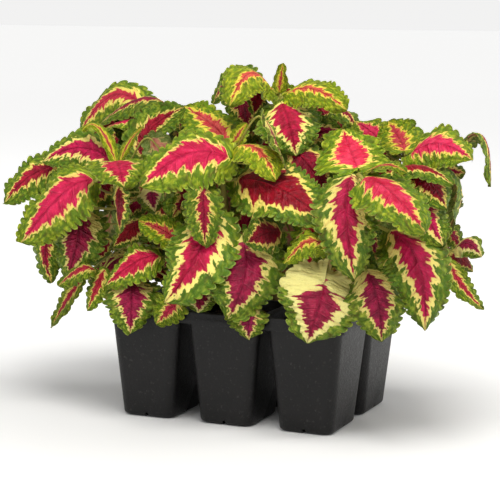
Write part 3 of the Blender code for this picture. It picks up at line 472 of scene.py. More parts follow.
# ------------------------------------------------------------------ settling
# Every blade starts where the table puts it.  One that would touch a piece already
# in place is moved along its own sight line until there is room.
def settle(fixed):
    rng = random.Random(SEED)
    placed = list(fixed)
    result, troubled = [], []
    for name, k, h0, across, specs in FOLIAGE:
        best = None
        chosen = []
        pair = len(specs) == 2
        for side, spec in enumerate(specs):
            found = None
            least = 10 ** 9
            order, why = list(placed), {}
            for trial in range(420):
                amp = 0.0 if trial == 0 else 2.0 + 0.11 * trial
                j = [rng.uniform(-1, 1) * amp for _ in range(4)]
                h = h0 if (side or trial == 0) else min(0.99, max(0.18, h0 + rng.uniform(-1, 1) * min(0.06, amp * 0.003)))
                if side:
                    h = chosen[0][1]
                b, m, t, n0 = place_points(spec, k, h, j)
                shrink = 1.0 if trial < 200 else 0.85
                blade = Blade(b, m, t, n0, spec["w"] * shrink, spec["fold"], spec["twist"], spec["sweep"])
                c0, ax, r = stem_point(k, h), stem_dir(k, h), stem_radius(k, h)
                if not side:
                    go = unit((b - c0) - ax * float((b - c0) @ ax))
                    if pair:
                        b2 = place_points(specs[1], k, h, [0, 0, 0, 0])[0]
                        d = unit((b - c0) - (b2 - c0))
                        d = unit(d - ax * float(d @ ax))
                        off = np.cross(ax, d)
                        lean = (b - c0) + (b2 - c0)
                        off = off if float(lean @ off) > 0 else -off
                        s0 = c0 + off * (r * 1.08 + 1.35 + CLEAR + 0.25)
                        d0 = d
                    else:
                        s0 = c0 + go * (r * 1.08 + CLEAR + 0.45)
                        d0 = unit(go + ax * 0.3)
                else:
                    s0, d0 = chosen[0][2], -chosen[0][3]
                wob = np.array([rng.uniform(-1, 1) for _ in range(3)]) * min(0.6, amp * 0.03)
                d1 = unit(d0 + wob) if (not pair) else d0
                P, N, T = leaf_rows(blade, s0, d1, across, CLEAR * 0.75)
                body = Placed(name, *shell(P, N, T))
                touch = next((o for o in order if body.hits(o)), None)
                if touch:
                    why[touch.name] = why.get(touch.name, 0) + 1
                    order = [touch] + [o for o in order if o is not touch]
                    if not found:
                        least, found = 500, (blade, h, s0, d1, trial)
                    continue
                real = leaf_rows(blade, s0, d1, across, 0.0)
                if side:
                    A = chosen[0][5]
                    P2 = np.concatenate([A[0][::-1][:, ::-1], real[0][1:]])
                    N2 = np.concatenate([A[1][::-1][:, ::-1], real[1][1:]])
                    T2 = np.concatenate([A[2][::-1][:, ::-1], real[2][1:]])
                    whole = Placed(name, *shell(P2, N2, T2))
                else:
                    whole = Placed(name, *shell(*real))
                bad = whole.folds_on_itself()
                if bad:
                    why["fold"] = why.get("fold", 0) + 1
                    if not found:
                        least, found = 500, (blade, h, s0, d1, trial)
                    continue
                least, found = 0, (blade, h, s0, d1, trial, real, whole)
                break
            if least and side:
                # no room for the second leaf of this pair: the node bears one leaf
                troubled.append((name, side, why))
                continue
            if least:
                blade, h, s0, d1, trial = found[:5]
                real = leaf_rows(blade, s0, d1, across, 0.0)
                found = (blade, h, s0, d1, trial, real, Placed(name, *shell(*real)))
                troubled.append((name, side, why))
            chosen.append(found)
        body = chosen[-1][6]
        placed.append(body)
        result.append((name, specs, chosen, body))
    print("foliage not clear:", troubled)
    return result


# ------------------------------------------------------------------ tray
def ring_xy(cx, cy, hx, hy, r, n=3):
    pts = []
    for sx, sy, a0 in ((1, 1, 0), (-1, 1, 90), (-1, -1, 180), (1, -1, 270)):
        for q in range(n + 1):
            g = math.radians(a0 + 90.0 * q / n)
            pts.append((cx + sx * (hx - r) + r * math.cos(g), cy + sy * (hy - r) + r * math.sin(g)))
    return pts


def stack(levels):
    """Closed body from matching rings, bottom to top; levels are (ring, z)."""
    v, f = [], []
    m = len(levels[0][0])
    for ring, z in levels:
        v += [(x, y, z) for x, y in ring]
    for i in range(len(levels) - 1):
        for q in range(m):
            w = (q + 1) % m
            f.append((i * m + q, i * m + w, (i + 1) * m + w, (i + 1) * m + q))
    f.append(tuple(reversed(range(m))))
    f.append(tuple(range((len(levels) - 1) * m, len(levels) * m)))
    return np.array(v, float), f


def cell_half(z, off):
    """Half widths of a cell at height z, drawn in by off."""
    k = z / PACK_H
    return (CELL_BOTTOM[0] + (CELL_TOP[0] - CELL_BOTTOM[0]) * k - off,
            CELL_BOTTOM[1] + (CELL_TOP[1] - CELL_BOTTOM[1]) * k - off)


def cell_body(i, j, off, z0, z1, foot):
    c = cell_centre(i, j)
    lv = []
    a = cell_half(z0, off)
    if foot:
        lv.append((ring_xy(c[0], c[1], a[0] - foot, a[1] - foot, CELL_CORNER - foot * 0.6), z0))
        b = cell_half(z0 + foot * 0.3, off)
        lv.append((ring_xy(c[0], c[1], b[0] - foot * 0.3, b[1] - foot * 0.3, CELL_CORNER - foot * 0.2), z0 + foot * 0.3))
        b = cell_half(z0 + foot, off)
        lv.append((ring_xy(c[0], c[1], b[0], b[1], CELL_CORNER), z0 + foot))
    else:
        lv.append((ring_xy(c[0], c[1], a[0], a[1], CELL_CORNER), z0))
    b = cell_half(min(z1, PACK_H), off)
    lv.append((ring_xy(c[0], c[1], b[0], b[1], CELL_CORNER), z1))
    return stack(lv)


HALF = (PITCH_X + CELL_TOP[0] + RIM_OVER, PITCH_Y / 2 + CELL_TOP[1] + RIM_OVER)


def keep_clear(tubes):
    """What the foliage must keep clear of."""
    fixed = [Placed("stem", *t) for t in tubes]
    fixed.append(Placed("rim", *stack([
        (ring_xy(0, 0, HALF[0] + .4, HALF[1] + .4, 8.0), PACK_H - SKIRT - .4),
        (ring_xy(0, 0, HALF[0] + .4, HALF[1] + .4, 8.0), PACK_H + .4)])))
    for i in (-1, 0, 1):
        for j in (-1, 1):
            fixed.append(Placed("cup", *cell_body(i, j, -0.4, -1.0, PACK_H - 1.0, 0)))
    return fixed



# outline of the foliage from the station, and small windows that stay open in it
OUTLINE = [(4, 196), (8, 178), (38, 164), (50, 150), (62, 140), (78, 132), (84, 112), (96, 92), (110, 88), (122, 98),
           (150, 96), (178, 100), (204, 100), (214, 86), (224, 70), (240, 66), (262, 74), (275, 72), (286, 78), (318, 82),
           (336, 90), (346, 106), (354, 118), (376, 119), (392, 121), (412, 128), (440, 128), (466, 140), (466, 180),
           (462, 222), (476, 246), (484, 262), (472, 282), (480, 304), (462, 298), (446, 294), (438, 322), (428, 343),
           (414, 342), (402, 334), (384, 342), (372, 332), (350, 324), (330, 328), (308, 342), (296, 324), (268, 322),
           (250, 338), (236, 322), (200, 312), (160, 320), (130, 330), (112, 318), (90, 306), (70, 298), (54, 288),
           (46, 268), (36, 238), (20, 240), (18, 216)]
WINDOWS = [(114, 113, 141, 121), (84, 204, 101, 214), (129, 186, 147, 196), (159, 193, 168, 201), (268, 236, 283, 249),
           (292, 258, 300, 266), (401, 226, 409, 234), (428, 243, 437, 258), (444, 248, 452, 256)]

# ------------------------------------------------------------------ the CAD's place
lo_c, hi_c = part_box("cell_pack")
SHIFT = np.array([(lo_c[0] + hi_c[0]) * 500.0, (lo_c[1] + hi_c[1]) * 500.0, 0.0])


def world(p):
    return (np.asarray(p, float) + SHIFT) * MM


# ------------------------------------------------------------------ materials
class Nodes:
    """Short way to write a node tree."""

    def __init__(self, name):
        self.mat = bpy.data.materials.new(name)
        self.mat.use_nodes = True
        self.t = self.mat.node_tree
        self.b = self.t.nodes["Principled BSDF"]

    def put(self, sock, val):
        if isinstance(val, bpy.types.NodeSocket):
            self.t.links.new(val, sock)
        elif isinstance(val, (tuple, list)) and len(val) == 3 and sock.type == "RGBA":
            sock.default_value = (*val, 1.0)
        else:
            sock.default_value = val

    def math(self, op, a, b=0.0, c=0.0, clamp=False):
        n = self.t.nodes.new("ShaderNodeMath")
        n.operation = op
        n.use_clamp = clamp
        self.put(n.inputs[0], a)
        self.put(n.inputs[1], b)
        self.put(n.inputs[2], c)
        return n.outputs[0]

    def attr(self, name):
        n = self.t.nodes.new("ShaderNodeAttribute")
        n.attribute_name = name
        return n.outputs["Fac"]

    def vec(self, x, y, z=0.0):
        n = self.t.nodes.new("ShaderNodeCombineXYZ")
        for s, v in zip(n.inputs, (x, y, z)):
            self.put(s, v)
        return n.outputs[0]

    def noise(self, vec, scale=1.0, detail=2.0, rough=0.5):
        n = self.t.nodes.new("ShaderNodeTexNoise")
        self.put(n.inputs["Vector"], vec)
        self.put(n.inputs["Scale"], scale)
        self.put(n.inputs["Detail"], detail)
        self.put(n.inputs["Roughness"], rough)
        return n.outputs[0]

    def cells(self, vec, scale=1.0, feature="F1", rnd=1.0):
        n = self.t.nodes.new("ShaderNodeTexVoronoi")
        n.feature = feature
        self.put(n.inputs["Vector"], vec)
        self.put(n.inputs["Scale"], scale)
        self.put(n.inputs["Randomness"], rnd)
        return n.outputs[0]

    def mix(self, f, a, b, mode="MIX"):
        n = self.t.nodes.new("ShaderNodeMix")
        n.data_type = "RGBA"
        n.blend_type = mode
        ins = [s for s in n.inputs if s.enabled]
        self.put(ins[0], f)
        self.put(ins[1], a)
        self.put(ins[2], b)
        return [s for s in n.outputs if s.enabled][0]

    def step(self, v, lo, hi):
        """Smooth 0 to 1 as v goes from lo to hi."""
        n = self.t.nodes.new("ShaderNodeMapRange")
        n.interpolation_type = "SMOOTHSTEP"
        self.put(n.inputs["Value"], v)
        self.put(n.inputs["From Min"], lo)
        self.put(n.inputs["From Max"], hi)
        return n.outputs[0]

    def lin(self, v, a0, a1, b0, b1):
        n = self.t.nodes.new("ShaderNodeMapRange")
        self.put(n.inputs["Value"], v)
        for k, q in zip(("From Min", "From Max", "To Min", "To Max"), (a0, a1, b0, b1)):
            self.put(n.inputs[k], q)
        return n.outputs[0]

    def curve(self, v, pts):
        n = self.t.nodes.new("ShaderNodeFloatCurve")
        c = n.mapping.curves[0]
        for i, (x, y) in enumerate(pts):
            if i < 2:
                c.points[i].location = (x, y)
            else:
                c.points.new(x, y)
        n.mapping.update()
        self.put(n.inputs["Value"], v)
        return n.outputs[0]

    def bump(self, h, dist, strength=1.0, normal=None):
        n = self.t.nodes.new("ShaderNodeBump")
        self.put(n.inputs["Height"], h)
        n.inputs["Distance"].default_value = dist
        n.inputs["Strength"].default_value = strength
        if normal is not None:
            self.put(n.inputs["Normal"], normal)
        return n.outputs[0]

    def out(self, **kw):
        for k, v in kw.items():
            self.put(self.b.inputs[k.replace("_", " ")], v)
        return self.mat


def srgb(r, g, b):
    return tuple(((c / 255.0) / 12.92) if c <= 10 else (((c / 255.0) + 0.055) / 1.055) ** 2.4 for c in (r, g, b))


VEINS = 5.6

# per style: centre colours, band colours, margin colours, width of the centre at the
# base, middle and tip, width of the band, how green breaks into the band
STYLES = {
    "bright": dict(c1=(182, 8, 57), c2=(222, 36, 84), band=(242, 222, 113), g1=(98, 127, 13), g2=(165, 177, 39), ctr=(.34, .46, .20), band_w=.12, isl=.40, base=.0),
    "pink": dict(c1=(204, 18, 61), c2=(236, 60, 95), band=(244, 222, 102), g1=(98, 129, 13), g2=(170, 181, 39), ctr=(.36, .44, .18), band_w=.12, isl=.40, base=.0),
    "crimson": dict(c1=(144, 4, 46), c2=(196, 20, 77), band=(240, 222, 123), g1=(79, 111, 13), g2=(144, 158, 44), ctr=(.30, .38, .16), band_w=.22, isl=.60, base=.0),
    "dark": dict(c1=(112, 0, 22), c2=(158, 6, 38), band=(238, 216, 107), g1=(77, 109, 11), g2=(137, 154, 35), ctr=(.44, .58, .24), band_w=.19, isl=.50, base=.0),
    "old": dict(c1=(118, 4, 46), c2=(168, 24, 72), band=(230, 214, 121), g1=(86, 115, 15), g2=(147, 160, 45), ctr=(.24, .42, .16), band_w=.14, isl=.50, base=.30),
    "cream": dict(c1=(120, 4, 45), c2=(162, 24, 68), band=(234, 222, 139), g1=(86, 115, 17), g2=(149, 160, 47), ctr=(.02, .42, .14), band_w=.30, isl=.06, base=.9, fz=.10),
    "lime": dict(c1=(206, 66, 51), c2=(228, 98, 77), band=(242, 226, 81), g1=(121, 146, 11), g2=(187, 191, 37), ctr=(.10, .16, .07), band_w=.13, isl=.3, base=.0),
    "yellow": dict(c1=(204, 46, 61), c2=(224, 90, 84), band=(244, 224, 77), g1=(105, 138, 11), g2=(181, 185, 35), ctr=(.22, .28, .10), band_w=.17, isl=.3, base=.0),
    "young": dict(c1=(212, 66, 66), c2=(230, 108, 92), band=(236, 222, 67), g1=(130, 152, 11), g2=(187, 195, 35), ctr=(.14, .22, .08), band_w=.28, isl=.1, base=.0),
    "mid": dict(c1=(126, 4, 31), c2=(178, 20, 51), band=(234, 216, 107), g1=(81, 113, 11), g2=(144, 160, 37), ctr=(.22, .32, .13), band_w=.14, isl=.5, base=.0),
    "small": dict(c1=(176, 24, 53), c2=(208, 56, 77), band=(236, 220, 107), g1=(95, 125, 13), g2=(161, 171, 40), ctr=(.20, .28, .10), band_w=.15, isl=.3, base=.1),
    # shade is painted shade: the leaf colours dimmed all over, cream band too, for leaves deep inside the plants
    "shade": dict(c1=(104, 4, 22), c2=(146, 12, 35), band=(206, 192, 81), g1=(63, 94, 8), g2=(119, 138, 27), ctr=(.20, .32, .12), band_w=.10, isl=.4, base=.0),
}


def leaf_fields(n):
    s, t, r = n.attr("ls"), n.attr("lt"), n.attr("lr")
    a = n.math("ABSOLUTE", t)
    side = n.math("SIGN", t)
    lag = n.math("MULTIPLY", a, n.math("MULTIPLY_ADD", s, -0.16, 0.30))
    q = n.math("SUBTRACT", s, lag)
    ph = n.math("ADD", n.math("MULTIPLY", q, VEINS), n.math("ADD", n.math("MULTIPLY", side, 0.13), n.math("MULTIPLY", r, 3.1)))
    fr = n.math("FRACT", n.math("ADD", ph, 8.0))
    vein = n.math("ABSOLUTE", n.math("MULTIPLY_ADD", fr, 2.0, -1.0))     # 1 on a side vein
    fine = n.math("FRACT", n.math("MULTIPLY", n.math("ADD", ph, 8.0), 3.0))
    fine = n.math("ABSOLUTE", n.math("MULTIPLY_ADD", fine, 2.0, -1.0))
    seed = n.math("MULTIPLY", r, 57.0)
    sd = n.math("MULTIPLY_ADD", side, 3.7, seed)
    return s, t, r, a, q, vein, fine, seed, sd


def leaf_zones(n, P, f):
    s, t, r, a, q, vein, fine, seed, sd = f
    b0, b1, b2 = P["ctr"]
    prof = n.curve(s, [(0.0, b0 * .8), (1.0, 0.0), (0.12, b0), (0.34, b1), (0.60, (b1 * .72 + b2 * .28)), (0.84, b2 * .8)])
    prof = n.math("MULTIPLY", prof, n.lin(r, 0, 1, 0.88, 1.10))
    tooth = n.math("MULTIPLY", n.math("SUBTRACT", n.math("POWER", vein, 1.6), 0.36), n.lin(s, 0, 1, 0.23, 0.11))
    tooth2 = n.math("MULTIPLY", n.math("SUBTRACT", n.math("POWER", fine, 1.4), 0.4), 0.075)
    feather = n.noise(n.vec(n.math("MULTIPLY", q, 34.0), n.math("MULTIPLY", a, 7.0), sd), 1.0, 3.0, 0.6)
    blot = n.noise(n.vec(n.math("MULTIPLY", q, 9.0), n.math("MULTIPLY", a, 5.0), n.math("ADD", sd, 11.0)), 1.0, 2.0, 0.5)
    edge = n.math("ADD", prof, n.math("ADD", tooth, tooth2))
    edge = n.math("ADD", edge, n.math("MULTIPLY", n.math("SUBTRACT", feather, 0.5), 0.34))
    edge = n.math("ADD", edge, n.math("MULTIPLY", n.math("SUBTRACT", blot, 0.5), 0.30))
    edge = n.math("MULTIPLY", edge, n.step(s, 1.0, 0.86))
    centre = n.step(n.math("SUBTRACT", edge, a), -0.035, 0.035)
    # band: wide round the base lobes of old leaves, a thin line near the tip
    bw = n.math("MULTIPLY", n.lin(s, 0.0, 0.9, 1.15, 0.70), P["band_w"])
    bw = n.math("ADD", bw, n.math("MULTIPLY", n.step(s, 0.42, 0.16), P["base"]))
    outer = n.math("ADD", edge, bw)
    feather2 = n.noise(n.vec(n.math("MULTIPLY", q, 20.0), n.math("MULTIPLY", a, 4.0), n.math("ADD", sd, 31.0)), 1.0, 3.0, 0.55)
    isl = n.noise(n.vec(n.math("MULTIPLY", q, 16.0), n.math("MULTIPLY", a, 6.0), n.math("ADD", sd, 71.0)), 1.0, 1.0, 0.4)
    outer = n.math("ADD", outer, n.math("MULTIPLY", n.math("SUBTRACT", feather2, 0.5), P.get("fz", 0.30)))
    outer = n.math("ADD", outer, n.math("MULTIPLY", n.math("SUBTRACT", isl, 0.5), P["isl"] * 0.9))
    tipband = n.math("MULTIPLY", n.step(s, 0.55, 0.95), 0.05)
    outer = n.math("ADD", outer, tipband)
    band = n.step(n.math("SUBTRACT", outer, a), -0.035, 0.04)
    return centre, band, feather, blot, isl


def edge_of(n, P, s, r):
    b0, b1, b2 = P["ctr"]
    return n.curve(s, [(0.0, b0 * .8), (1.0, 0.0), (0.12, b0), (0.34, b1), (0.60, (b1 * .72 + b2 * .28)), (0.84, b2 * .8)])


def leaf_top(name, P):
    n = Nodes(name)
    f = leaf_fields(n)
    s, t, r, a, q, vein, fine, seed, sd = f
    centre, band, feather, blot, isl = leaf_zones(n, P, f)
    ripple = n.cells(n.vec(n.math("MULTIPLY", q, 21.0), n.math("MULTIPLY", t, 6.6), seed), 1.0, "SMOOTH_F1")
    pebble = n.cells(n.vec(n.math("MULTIPLY", q, 62.0), n.math("MULTIPLY", t, 20.0), seed), 1.0, "F1")
    c1, c2 = srgb(*P["c1"]), srgb(*P["c2"])
    g1, g2, bd = srgb(*P["g1"]), srgb(*P["g2"]), srgb(*P["band"])
    red = n.mix(n.step(blot, 0.32, 0.68), c1, c2)
    # painted shade: the red centre is darker in the valleys between the quilted bulges
    red = n.mix(n.math("MULTIPLY", n.step(ripple, 0.25, 0.75), 0.35), red, tuple(k * 0.55 for k in c1))
    red = n.mix(n.math("MULTIPLY", n.step(vein, 0.90, 1.0), 0.40), red, tuple(min(1, k * 1.15 + 0.03) for k in c2))
    red = n.mix(n.math("MULTIPLY", n.step(a, 0.035, 0.0), 0.45), red, tuple(k * 0.7 for k in c1))
    cream = n.mix(n.math("MULTIPLY", n.step(feather, 0.35, 0.75), 0.22), bd, tuple(k * 0.84 for k in bd))
    cream = n.mix(n.math("MULTIPLY", n.step(vein, 0.80, 1.0), P.get("fz", 0.30)), cream, srgb(232, 184, 96))
    blush = n.math("MULTIPLY", n.step(n.math("SUBTRACT", n.math("ADD", a, n.math("MULTIPLY", feather, 0.25)), edge_of(n, P, s, r)), 0.22, 0.02), 0.35)
    cream = n.mix(blush, cream, srgb(224, 132, 84))
    green = n.mix(n.step(isl, 0.40, 0.72), g1, g2)
    # painted shade in the quilting: the green is darker in the valleys between the bulges, and brownish in the deepest
    # of them
    green = n.mix(n.math("MULTIPLY", n.step(ripple, 0.25, 0.75), 0.62), green, tuple(k * 0.52 for k in g1))
    green = n.mix(n.math("MULTIPLY", n.step(ripple, 0.50, 0.85), 0.48), green, srgb(86, 58, 18))
    # painted highlight: the tops of the quilted bulges are paler
    green = n.mix(n.math("MULTIPLY", n.step(ripple, 0.26, 0.06), 0.40), green, tuple(min(1.0, k * 1.5 + 0.02) for k in g2))
    green = n.mix(n.math("MULTIPLY", n.step(vein, 0.84, 1.0), 0.45), green, tuple(k * 0.62 for k in g1))
    # painted highlight: a paler strip along the very edge of the margin
    rim = n.math("MULTIPLY", n.step(a, 0.95, 1.0), 0.55)
    green = n.mix(rim, green, tuple(k * 0.6 + q2 * 0.5 for k, q2 in zip(g2, srgb(196, 206, 110))))
    dots = n.math("MULTIPLY", n.step(n.attr("ln"), 0.70, 0.92), n.step(a, 0.86, 0.97))
    green = n.mix(n.math("MULTIPLY", dots, 0.85), green, srgb(92, 20, 14))
    col = n.mix(band, green, cream)
    col = n.mix(centre, col, red)
    h_ = n.t.nodes.new("ShaderNodeHueSaturation")
    n.put(h_.inputs["Color"], col)
    n.put(h_.inputs["Hue"], n.lin(r, 0, 1, 0.495, 0.506))
    n.put(h_.inputs["Value"], n.lin(n.math("FRACT", n.math("MULTIPLY", r, 7.3)), 0, 1, 0.84, 1.10))
    col = h_.outputs[0]
    speck = n.noise(n.vec(n.math("MULTIPLY", s, 90.0), n.math("MULTIPLY", t, 60.0), seed), 1.0, 2.0, 0.6)
    col = n.mix(n.math("MULTIPLY", n.step(speck, 0.62, 0.78), 0.08), col, (1.0, 1.0, 0.8), "MIX")
    hgt = n.math("MULTIPLY_ADD", ripple, -0.9, n.math("MULTIPLY", pebble, -0.35))
    hgt = n.math("ADD", hgt, n.math("MULTIPLY", n.step(vein, 0.75, 1.0), -0.45))
    hgt = n.math("ADD", hgt, n.math("MULTIPLY", n.step(a, 0.06, 0.0), -0.6))
    nrm = n.bump(n.math("MULTIPLY", hgt, n.lin(s, 0.0, 0.25, 0.35, 1.0)), 0.0015, 1.0)
    rough = n.lin(ripple, 0.0, 1.0, 0.36, 0.56)
    m = n.out(Base_Color=col, Roughness=rough, Normal=nrm)
    n.b.inputs["Specular IOR Level"].default_value = 0.22
    n.b.inputs["Subsurface Weight"].default_value = 0.12
    n.b.inputs["Subsurface Radius"].default_value = (0.0012, 0.0009, 0.0004)
    n.b.inputs["Subsurface Scale"].default_value = 1.0
    return m


def leaf_under(name, P):
    n = Nodes(name)
    f = leaf_fields(n)
    s, t, r, a, q, vein, fine, seed, sd = f
    centre, band, feather, blot, isl = leaf_zones(n, P, f)
    net = n.cells(n.vec(n.math("MULTIPLY", q, 30.0), n.math("MULTIPLY", t, 9.0), seed), 1.0, "DISTANCE_TO_EDGE")
    red = n.mix(n.step(blot, 0.3, 0.7), srgb(206, 106, 92), srgb(226, 146, 124))
    red = n.mix(n.math("MULTIPLY", n.step(net, 0.14, 0.0), 0.4), red, srgb(214, 164, 128))
    cream = n.mix(n.step(feather, 0.3, 0.7), srgb(206, 190, 112), srgb(190, 168, 96))
    green = n.mix(n.step(isl, 0.35, 0.7), srgb(96, 118, 38), srgb(128, 146, 62))
    green = n.mix(n.math("MULTIPLY", n.step(net, 0.14, 0.0), 0.4), green, srgb(164, 172, 112))
    col = n.mix(band, green, cream)
    col = n.mix(centre, col, red)
    ribs = n.math("MAXIMUM", n.math("MULTIPLY", n.step(vein, 0.88, 1.0), n.step(a, 1.0, 0.3)), n.step(a, 0.07, 0.02))
    col = n.mix(n.math("MULTIPLY", ribs, 0.7), col, srgb(206, 178, 122))
    hgt = n.math("ADD", n.math("MULTIPLY", net, 1.6), n.math("MULTIPLY", ribs, 1.4))
    nrm = n.bump(hgt, 0.0007, 0.8)
    m = n.out(Base_Color=col, Roughness=n.lin(net, 0, .5, 0.62, 0.50), Normal=nrm)
    n.b.inputs["Specular IOR Level"].default_value = 0.30
    return m


def stalk_material(name, low, high):
    n = Nodes(name)
    s, r = n.attr("ls"), n.attr("lr")
    pos = n.t.nodes.new("ShaderNodeTexCoord").outputs["Object"]
    k = n.noise(pos, 90.0, 3.0, 0.6)
    streak = n.noise(n.vec(n.math("MULTIPLY", s, 3.0), n.math("MULTIPLY", n.attr("lt"), 22.0), n.math("MULTIPLY", r, 30)), 1.0, 2.0, 0.5)
    col = n.mix(n.step(n.math("ADD", s, n.math("MULTIPLY", n.math("SUBTRACT", k, 0.5), 0.5)), 0.1, 0.9), srgb(*low), srgb(*high))
    col = n.mix(n.math("MULTIPLY", n.step(streak, 0.45, 0.75), 0.45), col, srgb(150, 84, 34))
    col = n.mix(n.math("MULTIPLY", n.step(k, 0.6, 0.8), 0.25), col, srgb(214, 206, 120))
    nrm = n.bump(n.math("ADD", streak, n.math("MULTIPLY", k, 0.5)), 0.0005, 0.7)
    m = n.out(Base_Color=col, Roughness=n.lin(k, 0.3, 0.7, 0.38, 0.55), Normal=nrm)
    n.b.inputs["Subsurface Weight"].default_value = 0.10
    n.b.inputs["Subsurface Radius"].default_value = (0.002, 0.0015, 0.0006)
    n.b.inputs["Subsurface Scale"].default_value = 1.0
    return m


def plastic_material():
    n = Nodes("formed_black_sheet")
    pos = n.t.nodes.new("ShaderNodeTexCoord").outputs["Object"]
    grain = n.noise(pos, 1300.0, 3.0, 0.65)
    peb = n.cells(pos, 900.0, "SMOOTH_F1")
    wide = n.noise(pos, 38.0, 3.0, 0.55)
    dust_and_glints = n.noise(pos, 420.0, 4.0, 0.7)
    col = n.mix(n.step(wide, 0.35, 0.70), srgb(8, 7, 7), srgb(14, 12, 12))
    # light grey specks on the black sheet: partly real specks of dirt, partly painted glints of its pebbled surface
    col = n.mix(n.math("MULTIPLY", n.step(dust_and_glints, 0.56, 0.74), 0.55), col, srgb(72, 70, 68))
    col = n.mix(n.math("MULTIPLY", n.step(grain, 0.60, 0.75), 0.35), col, srgb(6, 6, 7))
    nrm = n.bump(n.math("ADD", n.math("MULTIPLY", grain, 0.8), peb), 0.00025, 0.9)
    nrm = n.bump(wide, 0.0012, 0.35, nrm)
    rough = n.lin(dust_and_glints, 0.3, 0.7, 0.36, 0.56)
    m = n.out(Base_Color=col, Roughness=rough, Normal=nrm)
    n.b.inputs["Specular IOR Level"].default_value = 0.30
    return m


def soil_material():
    n = Nodes("damp_peat")
    pos = n.t.nodes.new("ShaderNodeTexCoord").outputs["Object"]
    a = n.noise(pos, 260.0, 5.0, 0.7)
    b = n.cells(pos, 520.0, "F1")
    c = n.noise(pos, 60.0, 2.0, 0.5)
    col = n.mix(n.step(a, 0.35, 0.68), srgb(26, 17, 11), srgb(66, 45, 30))
    col = n.mix(n.math("MULTIPLY", n.step(c, 0.5, 0.7), 0.4), col, srgb(40, 26, 16))
    col = n.mix(n.math("MULTIPLY", n.step(b, 0.16, 0.05), 0.3), col, srgb(112, 84, 56))
    nrm = n.bump(n.math("ADD", n.math("MULTIPLY", a, 1.2), b), 0.0014, 1.0)
    return n.out(Base_Color=col, Roughness=n.lin(a, 0.3, 0.7, 0.72, 0.98), Normal=nrm)


# ------------------------------------------------------------------ mesh helpers
def mesh_object(name, verts, faces, mats, face_mat=None, attrs=None, uv=None):
    me = bpy.data.meshes.new(name)
    verts = np.asarray(verts, float)
    me.from_pydata([], [], [])
    me.vertices.add(len(verts))
    me.vertices.foreach_set("co", (verts.astype(np.float32)).ravel())
    sizes = np.array([len(f) for f in faces])
    loops = np.concatenate([np.asarray(f) for f in faces])
    me.loops.add(len(loops))
    me.loops.foreach_set("vertex_index", loops.astype(np.int32))
    me.polygons.add(len(faces))
    starts = np.concatenate([[0], np.cumsum(sizes)[:-1]]).astype(np.int32)
    me.polygons.foreach_set("loop_start", starts)
    if face_mat is not None:
        me.polygons.foreach_set("material_index", np.asarray(face_mat, np.int32))
    me.update(calc_edges=True)
    for m in mats:
        me.materials.append(m)
    for k, v in (attrs or {}).items():
        at_ = me.attributes.new(k, "FLOAT", "POINT")
        at_.data.foreach_set("value", np.asarray(v, np.float32))
    if uv is not None:
        lay = me.uv_layers.new(name="OFBake")
        lay.data.foreach_set("uv", np.asarray(uv, np.float32).ravel())
    me.validate()
    ob = bpy.data.objects.new(name, me)
    bpy.context.scene.collection.objects.link(ob)
    return ob


def grid_faces(r, c, base=0, flip=False, wrap=False):
    i, j = np.meshgrid(np.arange(r - 1), np.arange(c if wrap else c - 1), indexing="ij")
    i, j = i.ravel(), j.ravel()
    k = (j + 1) % c
    f = np.stack([i * c + j, i * c + k, (i + 1) * c + k, (i + 1) * c + j], 1) + base
    return f[:, ::-1] if flip else f


class Bundle:
    """Several sheets and tubes gathered into one mesh."""

    def __init__(self):
        self.v, self.f, self.m, self.uv, self.n = [], [], [], [], 0
        self.a = {k: [] for k in ("ls", "lt", "lr", "ln")}

    def add(self, v, f, mat, uv_of_vertex, uv_faces=None, **att):
        v = np.asarray(v, float)
        f = np.asarray(f)
        self.v.append(v)
        self.f.append(f + self.n)
        self.m.append(np.full(len(f), mat))
        src = f if uv_faces is None else uv_faces
        self.uv.append(np.asarray(uv_of_vertex)[src.ravel()].reshape(-1, 2))
        for k in self.a:
            val = att.get(k, 0.0)
            self.a[k].append(np.broadcast_to(np.asarray(val, float), (len(v),)).copy())
        self.n += len(v)

    def make(self, name, mats):
        faces = [q for f in self.f for q in f]
        uv = np.concatenate(self.uv)
        return mesh_object(name, np.concatenate(self.v) * MM, faces, mats, np.concatenate(self.m),
                           {k: np.concatenate(x) for k, x in self.a.items()}, uv)


def gather(name, parts, nodes):
    """One mesh out of several leaves (bundle, style), each with its own cell of the UV square."""
    rows = math.ceil(math.sqrt(len(parts)))
    cols = math.ceil(len(parts) / rows)
    big, styles, mats = Bundle(), [], []
    for q, (b, style) in enumerate(parts):
        if style not in styles:
            styles.append(style)
            mats += leaf_mats(style)
        cell = np.array([q % cols, q // cols], float)
        size = np.array([1.0 / cols, 1.0 / rows])
        for f, m, uv in zip(b.f, b.m, b.uv):
            big.f.append(f + big.n)
            big.m.append(m + 3 * styles.index(style))
            big.uv.append((uv + cell) * size)
        big.v += b.v
        for k in big.a:
            big.a[k] += b.a[k]
        big.n += b.n
    ob = big.make(name, mats)
    finish_piece(ob, nodes)
    return ob


